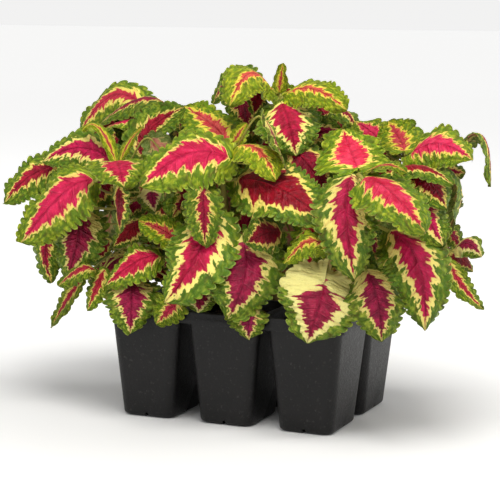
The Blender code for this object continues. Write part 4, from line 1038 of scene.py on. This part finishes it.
def add_tube(bun, centre, tangent, normal, rx, ry, sides, mat, band, seed, s_val):
    """Tube of elliptic section along a line; band is its strip of the UV square."""
    n = len(centre)
    g = 2 * np.pi * np.arange(sides) / sides
    side = np.cross(tangent, normal)
    v = (centre[:, None, :] + side[:, None, :] * (np.cos(g)[None, :, None] * rx[:, None, None])
         + normal[:, None, :] * (np.sin(g)[None, :, None] * ry[:, None, None])).reshape(-1, 3)
    f = grid_faces(n, sides, wrap=True)
    uvv = np.stack(np.meshgrid(np.linspace(.01, .99, n), np.linspace(band[0], band[1], sides + 1), indexing="ij"), -1).reshape(-1, 2)
    i, j = np.meshgrid(np.arange(n - 1), np.arange(sides), indexing="ij")
    i, j = i.ravel(), j.ravel()
    w = sides + 1
    uf = np.stack([i * w + j, i * w + j + 1, (i + 1) * w + j + 1, (i + 1) * w + j], 1)
    base = bun.n
    v2 = np.asarray(v)
    bun.v.append(v2)
    bun.f.append(f + base)
    bun.m.append(np.full(len(f), mat))
    bun.uv.append(uvv[uf.ravel()])
    bun.a["ls"].append(np.repeat(s_val, sides))
    bun.a["lt"].append(np.tile(np.cos(g), n))
    bun.a["lr"].append(np.full(n * sides, seed))
    bun.a["ln"].append(np.zeros(n * sides))
    bun.n += len(v2)


def scallop(g, lobes, phase):
    x = np.abs(np.sin(np.pi * (g * lobes + phase)))
    return x ** 0.55


def build_leaf(name, blade, s0, d0, style, rng, detail=1.0, curl=1.0):
    """One leaf: quilted upper sheet, underside, stalk and midrib."""
    w2, ln = blade.w, blade.length
    # margin length decides the number of lobes on a side
    ss = np.linspace(0, 1, 200)
    hw = w2 * np.maximum(outline(ss), 0.02)
    arc = np.concatenate([[0], np.cumsum(np.hypot(np.diff(ss) * ln, np.diff(hw)))])
    lobe = (4.1 if detail >= 1 else 4.5) + 0.03 * w2
    lobes = max(5, int(round(arc[-1] / lobe)))
    per = 5 if detail >= 1 else 4
    rows = lobes * per + 1
    g = np.linspace(0, 1, rows)
    # rows are evenly spaced along the margin, so that each lobe is alike
    s_rows = np.interp(g, arc / arc[-1], ss)
    cols = 19 if detail >= 1 else 11
    x = np.linspace(-1, 1, cols)
    x = np.sign(x) * (1.12 * np.abs(x) - 0.12 * np.abs(x) ** 3)
    S, X = np.meshgrid(s_rows, x, indexing="ij")
    A = np.abs(X)
    G = np.repeat(g[:, None], cols, 1)
    seed = rng.random()
    ph = (rng.randrange(per) / per, rng.randrange(per) / per)
    sc = np.where(X < 0, scallop(G, lobes, ph[0]), scallop(G, lobes, ph[1]))
    sc2 = np.where(X < 0, scallop(G, lobes / 2.6, ph[1]), scallop(G, lobes / 2.6, ph[0]))
    amp = 0.15 * (22.0 / max(8.0, w2)) ** 0.5 * np.clip(0.25 + G / 0.16, 0, 1)
    if style == "young":
        amp *= 0.4
    if style == "cream":
        amp *= 0.55
    Xe = X * (1 + (amp * (sc - 0.62) + 0.075 * (sc2 - 0.6)) * A ** 5)
    Xe = Xe * (1.05 + 0.24 * np.exp(-((S - 0.91) / 0.11) ** 2))
    p, n = blade.surface(S, Xe)
    side = np.where(X < 0, -1.0, 1.0)
    q = S - A * (0.30 - 0.16 * S)
    phs = q * VEINS + side * 0.13 + seed * 3.1 + 8.0
    fr = phs - np.floor(phs)
    bulge = np.sqrt(np.clip(np.sin(np.pi * fr), 0, 1)) - 0.55
    win = np.clip((A - 0.03) / 0.3, 0, 1)
    win = win * win * (3 - 2 * win)
    size = w2 / 22.0
    k1, k2, k3 = rng.random() * 6.28, rng.random() * 6.28, rng.random() * 6.28
    h = 0.85 * size * bulge * win
    h += 0.28 * size * np.sin(phs * 6.28 * 2.0 + A * 7.0) * win
    h += 0.26 * size * np.sin(A * 19.0 + q * 30.0 + k1) * win
    h += (sc - 0.55) * 1.2 * size * A ** 4
    lf = np.sin(2 * np.pi * 1.15 * S + k2 + side * 0.7) * 2.2 * size * A ** 2 * 1.3
    mf = np.sin(2 * np.pi * 3.4 * G + k3 + side * 1.9) * 2.0 * size * A ** 3
    h += (lf + mf) * curl
    h -= 0.5 * size * np.exp(-(A / 0.05) ** 2)
    h -= 0.15 * w2 * A ** 3 * (0.6 + 0.5 * np.sin(2 * np.pi * 0.9 * G + k1 + side * 1.3))
    p = p + n * h[..., None]
    top = p.reshape(-1, 3)
    thick = 0.42
    low = (p - n * thick).reshape(-1, 3)
    bun = Bundle()
    ft = grid_faces(rows, cols, flip=True)
    uvt = np.stack([0.01 + 0.98 * G, 0.36 + 0.63 * (X + 1) / 2], -1).reshape(-1, 2)
    uvl = np.stack([0.01 + 0.98 * G, 0.01 + 0.30 * (X + 1) / 2], -1).reshape(-1, 2)
    at_ = dict(ls=S.ravel(), lt=X.ravel(), lr=seed, ln=(1 - sc).ravel())
    bun.add(top, ft, 0, uvt, **at_)
    bun.add(low, grid_faces(rows, cols), 1, uvl, **at_)
    # the narrow edge between the two sheets
    idx = np.arange(rows * cols).reshape(rows, cols)
    loop = np.concatenate([idx[:, 0], idx[-1, 1:], idx[::-1, -1][1:], idx[0, ::-1][1:-1]])
    nxt = np.roll(loop, -1)
    nt = rows * cols
    edge = np.stack([loop, nxt, nxt + nt, loop + nt], 1)
    bun.f.append(edge)
    bun.m.append(np.full(len(edge), 0))
    e_uv = np.concatenate([uvt, uvt])
    bun.uv.append(e_uv[edge.ravel()])
    # stalk, carried on as the raised midrib of the underside
    b0, t0, n0, a0 = blade.frame(0.0)
    c, t = stalk(s0, d0, b0, t0, 12)
    nn = roll_frames(t, n0)
    pr = min(1.35, max(0.60, w2 * 0.065))
    rib_s = np.linspace(0.04, 0.88, 14 if detail >= 1 else 9)
    rc, rt, rn, ra = blade.frame(rib_s)
    cc = np.concatenate([c, rc])
    tt = np.concatenate([t, rt])
    nr = np.concatenate([nn, rn])
    taper = np.concatenate([np.full(12, 1.0), np.linspace(0.8, 0.22, len(rib_s))])
    under = 0.45 + 0.5 * size + 0.85 * pr * taper
    e = np.clip((np.linspace(0, 1, 12) - 0.55) / 0.45, 0, 1)
    under[:12] *= e * e * (3 - 2 * e)
    cc = cc - nr * under[:, None]
    add_tube(bun, cc, tt, nr, pr * taper, pr * 0.85 * taper, 8, 2, (0.325, 0.347), seed,
             np.concatenate([np.linspace(0, 1, 12), np.full(len(rib_s), 1.0)]))
    bun.v = [v + SHIFT for v in bun.v]
    return bun


MATS = {}


def leaf_mats(style):
    if style not in MATS:
        P = STYLES[style]
        MATS[style] = [leaf_top("leaf_upper_" + style, P), leaf_under("leaf_under_" + style, P), STALK]
    return MATS[style]


def finish_piece(ob, nodes=()):
    for p in ob.data.polygons:
        p.use_smooth = True
    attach(ob, "root")
    if nodes:
        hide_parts(*nodes)


STALK = stalk_material("leaf_stalk", (140, 132, 48), (170, 172, 76))
STEM = stalk_material("stem_bark", (150, 128, 54), (178, 176, 74))
PLASTIC = plastic_material()
SOIL = soil_material()

# ------------------------------------------------------------------ foliage
tubes = stem_meshes()
keep = keep_clear(tubes)
settled = settle(keep)
rng_l = random.Random(7)
for name, specs, chosen, body in settled:
    parts = []
    for spec, got in zip(specs, chosen):
        blade, h, s0, d1 = got[:4]
        parts.append((build_leaf(name, blade, s0, d1, spec["style"], rng_l, 1.0 if blade.w > 11 else 0.8), spec["style"]))
    gather("foliage_" + name[-2:], parts, [name])

def inside(poly, u, v):
    c = False
    for (x0, y0), (x1, y1) in zip(poly, poly[1:] + poly[:1]):
        if (y0 > v) != (y1 > v) and u < (x1 - x0) * (v - y0) / (y1 - y0) + x0:
            c = not c
    return c


def sight(u, v):
    return Vector(EYE), Vector(unit(EYE_R * ((u - 250.0) / VIEW_F) - EYE_U * ((v - 250.0) / VIEW_F) - EYE_B))


def open_to(trees, u, v):
    o, d = sight(u, v)
    return all(t.ray_cast(o, d)[0] is None for t in trees)


def pixel(p):
    d = p - EYE
    k = VIEW_F / -float(d @ EYE_B)
    return 250.0 + k * float(d @ EYE_R), 250.0 - k * float(d @ EYE_U)


def in_outline(pts):
    return all(inside(OUTLINE, *pixel(p)) for p in pts)


def in_view(trees, p):
    d = p - EYE
    ln = float(np.linalg.norm(d))
    o, g = Vector(EYE), Vector(d / ln)
    return all(t.ray_cast(o, g, ln - 1.5)[0] is None for t in trees)


# Leaves deeper in the plants.  They close the view between the outer ones, as seen
# from the station and from all round, and keep inside the outline of the foliage.
fill = random.Random(19)
placed_all = list(keep) + [r[3] for r in settled]
trees = [b.tree for b in placed_all[len(keep):]] + [b.tree for b in placed_all[:len(keep)]]
inner = {k: [] for k in range(6)}
stem_table = [(k, h, stem_point(k, h)) for k in range(6) for h in np.linspace(0.20, 0.95, 20)]
MASS = (np.array([-4.0, 2.0, 148.0]), 128.0, 80.0, 66.0)


def try_leaf(m, R, U, B, ln, shy):
    near = min(stem_table, key=lambda q: float(np.linalg.norm(q[2] - m)))
    side = float((m - near[2]) @ R)
    a = math.radians(fill.gauss(0, 40)) + math.copysign(0.5, side) * min(1.0, abs(side) / 20.0)
    go = unit(R * math.sin(a) - U * math.cos(a) + B * fill.uniform(-0.35, 0.45))
    b = m - go * ln * 0.5
    t = m + go * ln * 0.5 - np.array([0, 0, ln * 0.10])
    n0 = unit(R * fill.gauss(0, .35) + U * fill.gauss(0.45, .25) + B * 0.8)
    if min(b[2], t[2]) < PACK_H + 2.5:
        return None
    k, hh, c0 = min(stem_table, key=lambda q: float(np.linalg.norm(q[2] - (b - go * 8))))
    if float(np.linalg.norm(c0 - b)) > 46:
        return None
    blade = Blade(b, m, t, n0, ln * fill.uniform(.62, .80), fill.uniform(-14, 6), fill.uniform(-25, 25), 0.15)
    ax, r = stem_dir(k, hh), stem_radius(k, hh)
    out = unit((b - c0) - ax * float((b - c0) @ ax))
    s0, d0 = c0 + out * (r * 0.9), unit(out + ax * 0.3)
    rows = leaf_rows(blade, s0 + out * (r * 0.3 + 0.8), d0, 3, 0.1)
    if not in_outline(rows[0][-5:].reshape(-1, 3)):
        return None
    line = stalk(s0, d0, b, blade.frame(0.0)[1], 10)[0][1:9]
    if sum(in_view(trees, q) for q in line) > shy:
        return None
    bd = Placed("f", *shell(*rows))
    if any(bd.hits(o) for o in placed_all):
        return None
    return k, blade, s0, d0, bd


def keep_leaf(got, styles):
    k, blade, s0, d0, bd = got
    placed_all.append(bd)
    trees.append(bd.tree)
    style = fill.choice(styles)
    inner[k].append((build_leaf("inner", blade, s0, d0, style, fill, 0.8), style))


def clear_line(ts, o, d):
    return all(t.ray_cast(o, d)[0] is None for t in ts)


def seen_past(ts, o, d, far):
    """True if nothing is met along the line within the distance far."""
    return all(t.ray_cast(o, d, far)[0] is None for t in ts)


def covers(blade):
    """Share of a blade that stands in front of a larger leaf, seen from the station."""
    S, X = np.meshgrid([.1, .3, .5, .7, .9], [-.6, 0.0, .6], indexing="ij")
    pts = blade.surface(S, X)[0].reshape(-1, 3)
    n = 0
    for p in pts:
        g = Vector(unit(p - EYE))
        if in_view(trees, p) and any(t.ray_cast(Vector(p) + g * 1.5, g)[0] is not None for t in outer):
            n += 1
    return n / len(pts)


# from the station
outer = trees[:len(settled)]
gaps = []
for u in range(6, 494, 4):
    for v in range(66, 342, 4):
        if all(inside(OUTLINE, u + a, v + b) for a, b in ((0, 0), (5, 0), (-5, 0), (0, 5), (0, -5))) \
                and not any(x0 < u < x1 and y0 < v < y1 for x0, y0, x1, y1 in WINDOWS) and clear_line(trees, *sight(u, v)):
            gaps.append((u, v))
first = len(gaps)
for tries in range(2600):
    if not gaps:
        break
    u, v = gaps[fill.randrange(len(gaps))]
    y = fill.triangular(-34, 55, 14)
    m = at(u + fill.uniform(-7, 7), v + fill.uniform(-7, 7), y)
    got = try_leaf(m, EYE_R, EYE_U, EYE_B, fill.uniform(22, 40) * (0.75 if tries > 1200 else 1.0), 2)
    if not got or covers(got[1]) > 0.34:
        continue
    left = [g for g in gaps if clear_line([got[4].tree], *sight(*g))]
    if len(left) < len(gaps):
        gaps = left
        keep_leaf(got, ["shade", "mid", "mid", "dark", "crimson", "small", "old"])
print("front gaps", first, "left", len(gaps), "inner", sum(map(len, inner.values())))

# and from round about
for az in (70, 120, 165, 205, 250, 300):
    a = math.radians(az)
    B = unit(np.array([math.sin(a), -math.cos(a), 0.22]))
    R = np.array([math.cos(a), math.sin(a), 0.0])
    U = np.cross(B, R)
    c, rx, ry, rz = MASS
    wide = math.hypot(rx * R[0], ry * R[1])
    deep = math.hypot(rx * B[0], ry * B[1])
    gaps = []
    for x in np.arange(-wide, wide, 8.0):
        for z in np.arange(-rz, rz, 8.0):
            if (x / wide) ** 2 + (z / rz) ** 2 < 0.92:
                p = c + R * x + U * z
                if seen_past(trees, Vector(p + B * 400), Vector(-B), 400 + 0.1 * deep):
                    gaps.append((x, z))
    first = len(gaps)
    for tries in range(300):
        if len(gaps) < 6:
            break
        x, z = gaps[fill.randrange(len(gaps))]
        room = deep * math.sqrt(max(0.05, 1 - (x / wide) ** 2 - (z / rz) ** 2))
        m = c + R * (x + fill.uniform(-5, 5)) + U * (z + fill.uniform(-5, 5)) + B * fill.uniform(-0.2, 0.95) * room
        got = try_leaf(m, R, U, B, fill.uniform(28, 46), 6)
        if not got:
            continue
        left = [g for g in gaps if seen_past([got[4].tree], Vector(c + R * g[0] + U * g[1] + B * 400), Vector(-B), 400 + 0.1 * deep)]
        if len(left) < len(gaps):
            gaps = left
            keep_leaf(got, ["bright", "mid", "crimson", "dark", "pink", "old", "small"])
    print("side", az, "gaps", first, "left", len(gaps), "inner", sum(map(len, inner.values())))
for k, parts in inner.items():
    if parts:
        gather("inner_leaves_%d" % (k + 1), parts, ())

# ------------------------------------------------------------------ stems
def smooth_stem(name, k, nodes, h_to=1.0, h_from=0.0):
    hs = np.linspace(h_from, h_to, 46)
    c = np.array([stem_point(k, h) for h in hs])
    t = np.gradient(c, axis=0)
    t /= np.linalg.norm(t, axis=1)[:, None]
    ref = np.array([1.0, 0, 0])
    nn = []
    for i in range(len(t)):
        ref = unit(ref - t[i] * float(ref @ t[i]))
        nn.append(ref)
    nn = np.array(nn)
    side = np.cross(t, nn)
    rad = np.array([stem_radius(k, h) for h in hs])
    joints = [L[2] for L in FOLIAGE if L[1] == k]
    for j in joints:
        rad = rad * (1 + 0.16 * np.exp(-((hs - j) / 0.016) ** 2))
    sides = 24
    g = 2 * np.pi * np.arange(sides) / sides
    prof = 1 + 0.075 * np.cos(4 * g) - 0.02 * np.cos(8 * g)
    v = (c[:, None, :] + nn[:, None, :] * (np.cos(g) * prof)[None, :, None] * rad[:, None, None]
         + side[:, None, :] * (np.sin(g) * prof)[None, :, None] * rad[:, None, None]).reshape(-1, 3)
    # close the top with a small bud
    f = [tuple(q) for q in grid_faces(len(hs), sides, wrap=True)]
    v = list(v) + [c[-1] + t[-1] * rad[-1] * 1.2, c[0]]
    top, bot = len(v) - 2, len(v) - 1
    last = (len(hs) - 1) * sides
    for q in range(sides):
        w = (q + 1) % sides
        f.append((last + q, last + w, top))
        f.append((w, q, bot))
    v = (np.array(v) + SHIFT) * MM
    n = len(v)
    ls = np.concatenate([np.repeat(hs, sides), [1, 0]])
    lt = np.concatenate([np.tile(np.cos(g), len(hs)), [0, 0]])
    ob = mesh_object(name, v, f, [STEM], None, dict(ls=ls, lt=lt, lr=np.full(n, 0.1 * k), ln=np.zeros(n)))
    finish_piece(ob, nodes)
    return ob


for k in range(6):
    smooth_stem("stem_skin_%d" % (k + 1), k, ["stem_%d" % (k + 1)])
smooth_stem("side_shoot_skin", 6, ())

# ------------------------------------------------------------------ tray
def cut_object(name, v, f):
    me = bpy.data.meshes.new(name)
    me.from_pydata([tuple(float(q) * MM for q in world_mm(p)) for p in v], [], [tuple(int(q) for q in g) for g in f])
    bm = bmesh.new()
    bm.from_mesh(me)
    bmesh.ops.recalc_face_normals(bm, faces=bm.faces)
    bm.to_mesh(me)
    bm.free()
    ob = bpy.data.objects.new(name, me)
    bpy.context.scene.collection.objects.link(ob)
    return ob


def world_mm(p):
    return np.asarray(p, float) + SHIFT


def round_ring(hx, hy, r, n=8, cx=0.0, cy=0.0):
    return ring_xy(cx, cy, hx, hy, r, n)


def apply_all(ob):
    dg = bpy.context.evaluated_depsgraph_get()
    me = bpy.data.meshes.new_from_object(ob.evaluated_get(dg))
    ob.modifiers.clear()
    ob.data = me


def add_bool(ob, other, op):
    md = ob.modifiers.new("b", "BOOLEAN")
    md.operation = op
    md.object = other
    md.solver = "EXACT"


def fine_cell(i, j, off, z0, z1, foot, n=8):
    c = cell_centre(i, j)
    lv = []
    for q in range(7):
        g = math.radians(90.0 * q / 6)
        inset = foot * (1 - math.sin(g))
        z = z0 + foot * (1 - math.cos(g))
        b = cell_half(z, off)
        lv.append((ring_xy(c[0], c[1], b[0] - inset, b[1] - inset, max(1.5, CELL_CORNER - inset * 0.5), n), z))
    for z in (0.45, 0.9):
        zz = z0 + (min(z1, PACK_H) - z0) * z
        b = cell_half(zz, off)
        lv.append((ring_xy(c[0], c[1], b[0], b[1], CELL_CORNER, n), zz))
    b = cell_half(min(z1, PACK_H), off)
    lv.append((ring_xy(c[0], c[1], b[0], b[1], CELL_CORNER, n), z1))
    return stack(lv)


half = HALF
shell_levels = [(round_ring(half[0], half[1], 8.0), PACK_H - SKIRT),
                (round_ring(half[0], half[1], 8.0), PACK_H - SKIRT * 0.58),
                (round_ring(half[0] - .35, half[1] - .35, 7.7), PACK_H - SKIRT * 0.52),
                (round_ring(half[0] - .35, half[1] - .35, 7.7), PACK_H - 1.6)]
for q in range(1, 6):
    g = math.radians(90.0 * q / 5)
    shell_levels.append((round_ring(half[0] - .35 - 1.6 * (1 - math.cos(g)), half[1] - .35 - 1.6 * (1 - math.cos(g)), 7.7), PACK_H - 1.6 + 1.6 * math.sin(g)))
tray = cut_object("cell_tray", *stack(shell_levels))
tools = [cut_object("t", *stack([(round_ring(half[0] - WALL - .2, half[1] - WALL - .2, 7.0), PACK_H - SKIRT - 2),
                                 (round_ring(half[0] - WALL - .4, half[1] - WALL - .4, 7.0), PACK_H - WALL - .6)]))]
add_bool(tray, tools[0], "DIFFERENCE")
apply_all(tray)
for i in (-1, 0, 1):
    for j in (-1, 1):
        cup = cut_object("t", *fine_cell(i, j, 0.0, 0.0, PACK_H - WALL * 0.4, FOOT_R))
        tools.append(cup)
        add_bool(tray, cup, "UNION")
apply_all(tray)
for i in (-1, 0, 1):
    for j in (-1, 1):
        well = cut_object("t", *fine_cell(i, j, WALL * 0.8, WALL, PACK_H + 2, FOOT_R))
        tools.append(well)
        add_bool(tray, well, "DIFFERENCE")
        c = cell_centre(i, j)
        for sg in (-1, 1):
            for q in (0, 1):
                off = (0, sg * (CELL_BOTTOM[1] - 1.5)) if q == 0 else (sg * (CELL_BOTTOM[0] - 1.5), 0)
                w = (2.0, 4.0) if q == 0 else (4.0, 2.0)
                dr = cut_object("t", *stack([(ring_xy(c[0] + off[0], c[1] + off[1], w[0], w[1], 0.9, 4), -2.0),
                                             (ring_xy(c[0] + off[0], c[1] + off[1], w[0] * (0.45 if q == 0 else 1), w[1] * (0.45 if q else 1), 0.6, 4), 3.0)]))
                tools.append(dr)
                add_bool(tray, dr, "DIFFERENCE")
apply_all(tray)
for t_ in tools:
    bpy.data.objects.remove(t_, do_unlink=True)
bv = tray.modifiers.new("soft_edges", "BEVEL")
bv.width = 0.0005
bv.segments = 2
bv.limit_method = "ANGLE"
bv.angle_limit = math.radians(38)
bv.harden_normals = False
apply_all(tray)
for p in tray.data.polygons:
    p.use_smooth = True
tray.data.set_sharp_from_angle(angle=math.radians(50))
tray.data.materials.clear()
tray.data.materials.append(PLASTIC)
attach(tray, "root")
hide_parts("cell_pack")

# ------------------------------------------------------------------ soil
def lump(x, y, seed):
    """Cheap smooth noise for the soil's surface, in mm."""
    v = 0.0
    for k, (fx, fy, a) in enumerate(((.11, .07, 1.0), (.05, .13, .9), (.23, .19, .5), (.41, .37, .35), (.83, .61, .22), (.71, 1.13, .18))):
        v = v + a * np.sin(x * fx + y * fy * 0.7 + seed * (k + 1) * 1.7) * np.cos(y * fy - x * fx * 0.4 + seed * (k + 2) * 2.3)
    return v


crumb = random.Random(5)
n_plug = 0
for j in (-1, 1):
    for i in (-1, 0, 1):
        n_plug += 1
        c = cell_centre(i, j)
        hx, hy = cell_half(SOIL_TOP, WALL + SOIL_GAP)
        hx2, hy2 = cell_half(WALL + 2.0, WALL + SOIL_GAP)
        m = 54
        u = np.linspace(-1, 1, m)
        U, V = np.meshgrid(u, u, indexing="ij")
        rr = np.maximum(np.abs(U), np.abs(V))
        # squircle mapping rounds the corners
        k = 1 - 0.115 * (np.minimum(np.abs(U), np.abs(V)) / np.maximum(rr, 1e-6)) ** 4 * rr
        X, Y = U * hx * k, V * hy * k
        Z = SOIL_TOP - 0.6 + lump(X + c[0], Y + c[1], n_plug) * 0.8 - 1.2 * np.clip((rr - 0.85) / 0.15, 0, 1)
        rj = np.array([crumb.gauss(0, 0.35) for _ in range(m * m)]).reshape(m, m)
        Z = Z + rj
        v = np.stack([X + c[0], Y + c[1], Z], -1).reshape(-1, 3)
        f = [tuple(q) for q in grid_faces(m, m)]
        idx = np.arange(m * m).reshape(m, m)
        loop = list(np.concatenate([idx[:, 0], idx[-1, 1:], idx[::-1, -1][1:], idx[0, ::-1][1:-1]]))
        ring = len(v)
        low = []
        for q in loop:
            a, b = U.ravel()[q], V.ravel()[q]
            kk = k.ravel()[q]
            low.append((a * hx2 * kk + c[0], b * hy2 * kk + c[1], WALL + 2.0))
        v = np.concatenate([v, np.array(low)])
        nl = len(loop)
        for q in range(nl):
            w = (q + 1) % nl
            f.append((loop[w], loop[q], ring + q, ring + w))
        f.append(tuple(ring + q for q in range(nl)))
        vs, fs = [v], list(f)
        base = len(v)
        # crumbs lying on top
        ico = [(0, 0, 1), (.9, 0, .3), (.28, .85, .3), (-.72, .53, .3), (-.72, -.53, .3), (.28, -.85, .3),
               (.72, .53, -.4), (-.28, .85, -.4), (-.9, 0, -.4), (-.28, -.85, -.4), (.72, -.53, -.4), (0, 0, -1)]
        icf = [(0, 1, 2), (0, 2, 3), (0, 3, 4), (0, 4, 5), (0, 5, 1), (1, 6, 2), (2, 7, 3), (3, 8, 4), (4, 9, 5), (5, 10, 1),
               (2, 6, 7), (3, 7, 8), (4, 8, 9), (5, 9, 10), (1, 10, 6), (6, 11, 7), (7, 11, 8), (8, 11, 9), (9, 11, 10), (10, 11, 6)]
        for q in range(150):
            px, py = crumb.uniform(-.93, .93) * hx, crumb.uniform(-.93, .93) * hy
            sz = 0.5 + 1.3 * crumb.random() ** 2.2
            zz = SOIL_TOP - 0.5 + float(lump(px + c[0], py + c[1], n_plug)) * 0.8 + sz * 0.3
            st = np.array([crumb.uniform(.7, 1.3), crumb.uniform(.7, 1.3), crumb.uniform(.5, .9)]) * sz
            pts = np.array([[a * st[0] * crumb.uniform(.75, 1.2), b * st[1] * crumb.uniform(.75, 1.2), d * st[2]] for a, b, d in ico])
            vs.append(pts + np.array([px + c[0], py + c[1], zz]))
            fs += [tuple(base + w for w in g) for g in icf]
            base += 12
        ob = mesh_object("soil_top_%d" % n_plug, (np.concatenate(vs) + SHIFT) * MM, fs, [SOIL])
        finish_piece(ob, ["soil_plug_%d" % n_plug])

# ------------------------------------------------------------------ camera and stage
eye = world(EYE)
cam_data = bpy.data.cameras.new("view")
cam_data.sensor_width = 36.0
cam_data.lens = 36.0 * VIEW_F / 500.0
cam_data.clip_end = 20.0
cam = bpy.data.objects.new("view", cam_data)
bpy.context.scene.collection.objects.link(cam)
M = Matrix([[EYE_R[q], EYE_U[q], EYE_B[q], eye[q]] for q in range(3)] + [[0, 0, 0, 1]])
cam.matrix_world = M
bpy.context.scene.camera = cam
bpy.context.scene.view_settings.view_transform = "Standard"

AMBIENT, FLOOR_GLOW = 0.37, 0.0
n = Nodes("studio_white")
k_ = n.noise(n.t.nodes.new("ShaderNodeTexCoord").outputs["Object"], 3.0, 2.0, 0.5)
sep = n.t.nodes.new("ShaderNodeVectorMath")
sep.operation = "LENGTH"
n.put(sep.inputs[0], n.t.nodes.new("ShaderNodeTexCoord").outputs["Object"])
n.out(Base_Color=n.mix(k_, (0.84, 0.84, 0.838), (0.86, 0.86, 0.855)), Roughness=0.6,
      Emission_Color=(1.0, 1.0, 0.995), Emission_Strength=n.curve(n.math("MULTIPLY", sep.outputs["Value"], 0.2, clamp=True),
                                [(0.0, FLOOR_GLOW), (1.0, 0.612), (0.03, 0.05), (0.06, 0.29), (0.12, 0.43), (0.19, 0.54), (0.30, 0.61), (0.55, 0.60)]))
n.b.inputs["Specular IOR Level"].default_value = 0.15
me = bpy.data.meshes.new("studio_floor")
bm = bmesh.new()
depth = EYE_B[:2] / np.linalg.norm(EYE_B[:2])
right = np.array([EYE_R[0], EYE_R[1]]) / np.linalg.norm(EYE_R[:2])
rings = [[bm.verts.new((r * math.cos(q), r * math.sin(q), -0.0002)) for q in np.linspace(0, 2 * math.pi, 48, endpoint=False)]
         for r in (0.5, 1.5, 4.0, 12.0, 40.0)]
bm.faces.new(rings[0])
for a_, b_ in zip(rings[:-1], rings[1:]):
    for q in range(48):
        bm.faces.new((a_[q], a_[(q + 1) % 48], b_[(q + 1) % 48], b_[q]))
bmesh.ops.recalc_face_normals(bm, faces=bm.faces)
bm.to_mesh(me)
bm.free()
me.materials.append(n.mat)
floor = bpy.data.objects.new("studio_floor", me)
bpy.context.scene.collection.objects.link(floor)
floor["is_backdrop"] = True

sky = bpy.data.worlds.new("studio")
sky.use_nodes = True
wt = sky.node_tree
bg = wt.nodes["Background"]
bg.inputs[0].default_value = (1.0, 0.997, 0.99, 1)
bg.inputs[1].default_value = AMBIENT
# what is seen behind the object is paler than what lights it
seen_bg = wt.nodes.new("ShaderNodeBackground")
seen_bg.inputs[0].default_value = (1.0, 0.998, 0.994, 1)
mapr = wt.nodes.new("ShaderNodeMapRange")
sepz = wt.nodes.new("ShaderNodeSeparateXYZ")
wt.links.new(wt.nodes.new("ShaderNodeTexCoord").outputs["Generated"], sepz.inputs[0])
wt.links.new(sepz.outputs["Z"], mapr.inputs["Value"])
mapr.inputs["From Min"].default_value = -0.02
mapr.inputs["From Max"].default_value = 0.12
mapr.inputs["To Min"].default_value = 0.89
mapr.inputs["To Max"].default_value = 0.87
wt.links.new(mapr.outputs[0], seen_bg.inputs[1])
pick = wt.nodes.new("ShaderNodeMixShader")
wt.links.new(wt.nodes.new("ShaderNodeLightPath").outputs["Is Camera Ray"], pick.inputs[0])
wt.links.new(bg.outputs[0], pick.inputs[1])
wt.links.new(seen_bg.outputs[0], pick.inputs[2])
wt.links.new(pick.outputs[0], wt.nodes["World Output"].inputs["Surface"])
bpy.context.scene.world = sky


def area(name, loc, aim, size, power, colour=(1, 1, 1)):
    d = bpy.data.lights.new(name, "AREA")
    d.shape = "RECTANGLE"
    d.size, d.size_y = size
    d.energy = power
    d.color = colour
    o = bpy.data.objects.new(name, d)
    bpy.context.scene.collection.objects.link(o)
    o.location = loc
    o.rotation_euler = (Vector(aim) - Vector(loc)).to_track_quat("-Z", "Y").to_euler()
    return o


def stage_point(r, d, z):
    """r to the right of the view, d towards the station, z up, in metres."""
    return (right[0] * r + depth[0] * d, right[1] * r + depth[1] * d, z)


aim = (0, 0, 0.13)
area("key", stage_point(0.12, 0.58, 1.25), aim, (0.8, 0.8), 15.5, (1.0, 0.982, 0.945))
area("fill", stage_point(-1.0, 0.85, 0.70), aim, (0.9, 0.9), 4.0, (0.985, 0.99, 1.0))
area("side", stage_point(1.15, -0.20, 0.50), (0.05, 0, 0.12), (0.5, 0.6), 4.5, (1.0, 0.99, 0.97))

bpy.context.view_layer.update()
tris = {o.name: sum(len(p.vertices) - 2 for p in o.data.polygons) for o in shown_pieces()}
print("pieces", len(tris), "triangles", sum(tris.values()), "most", max(tris.items(), key=lambda z: z[1]))
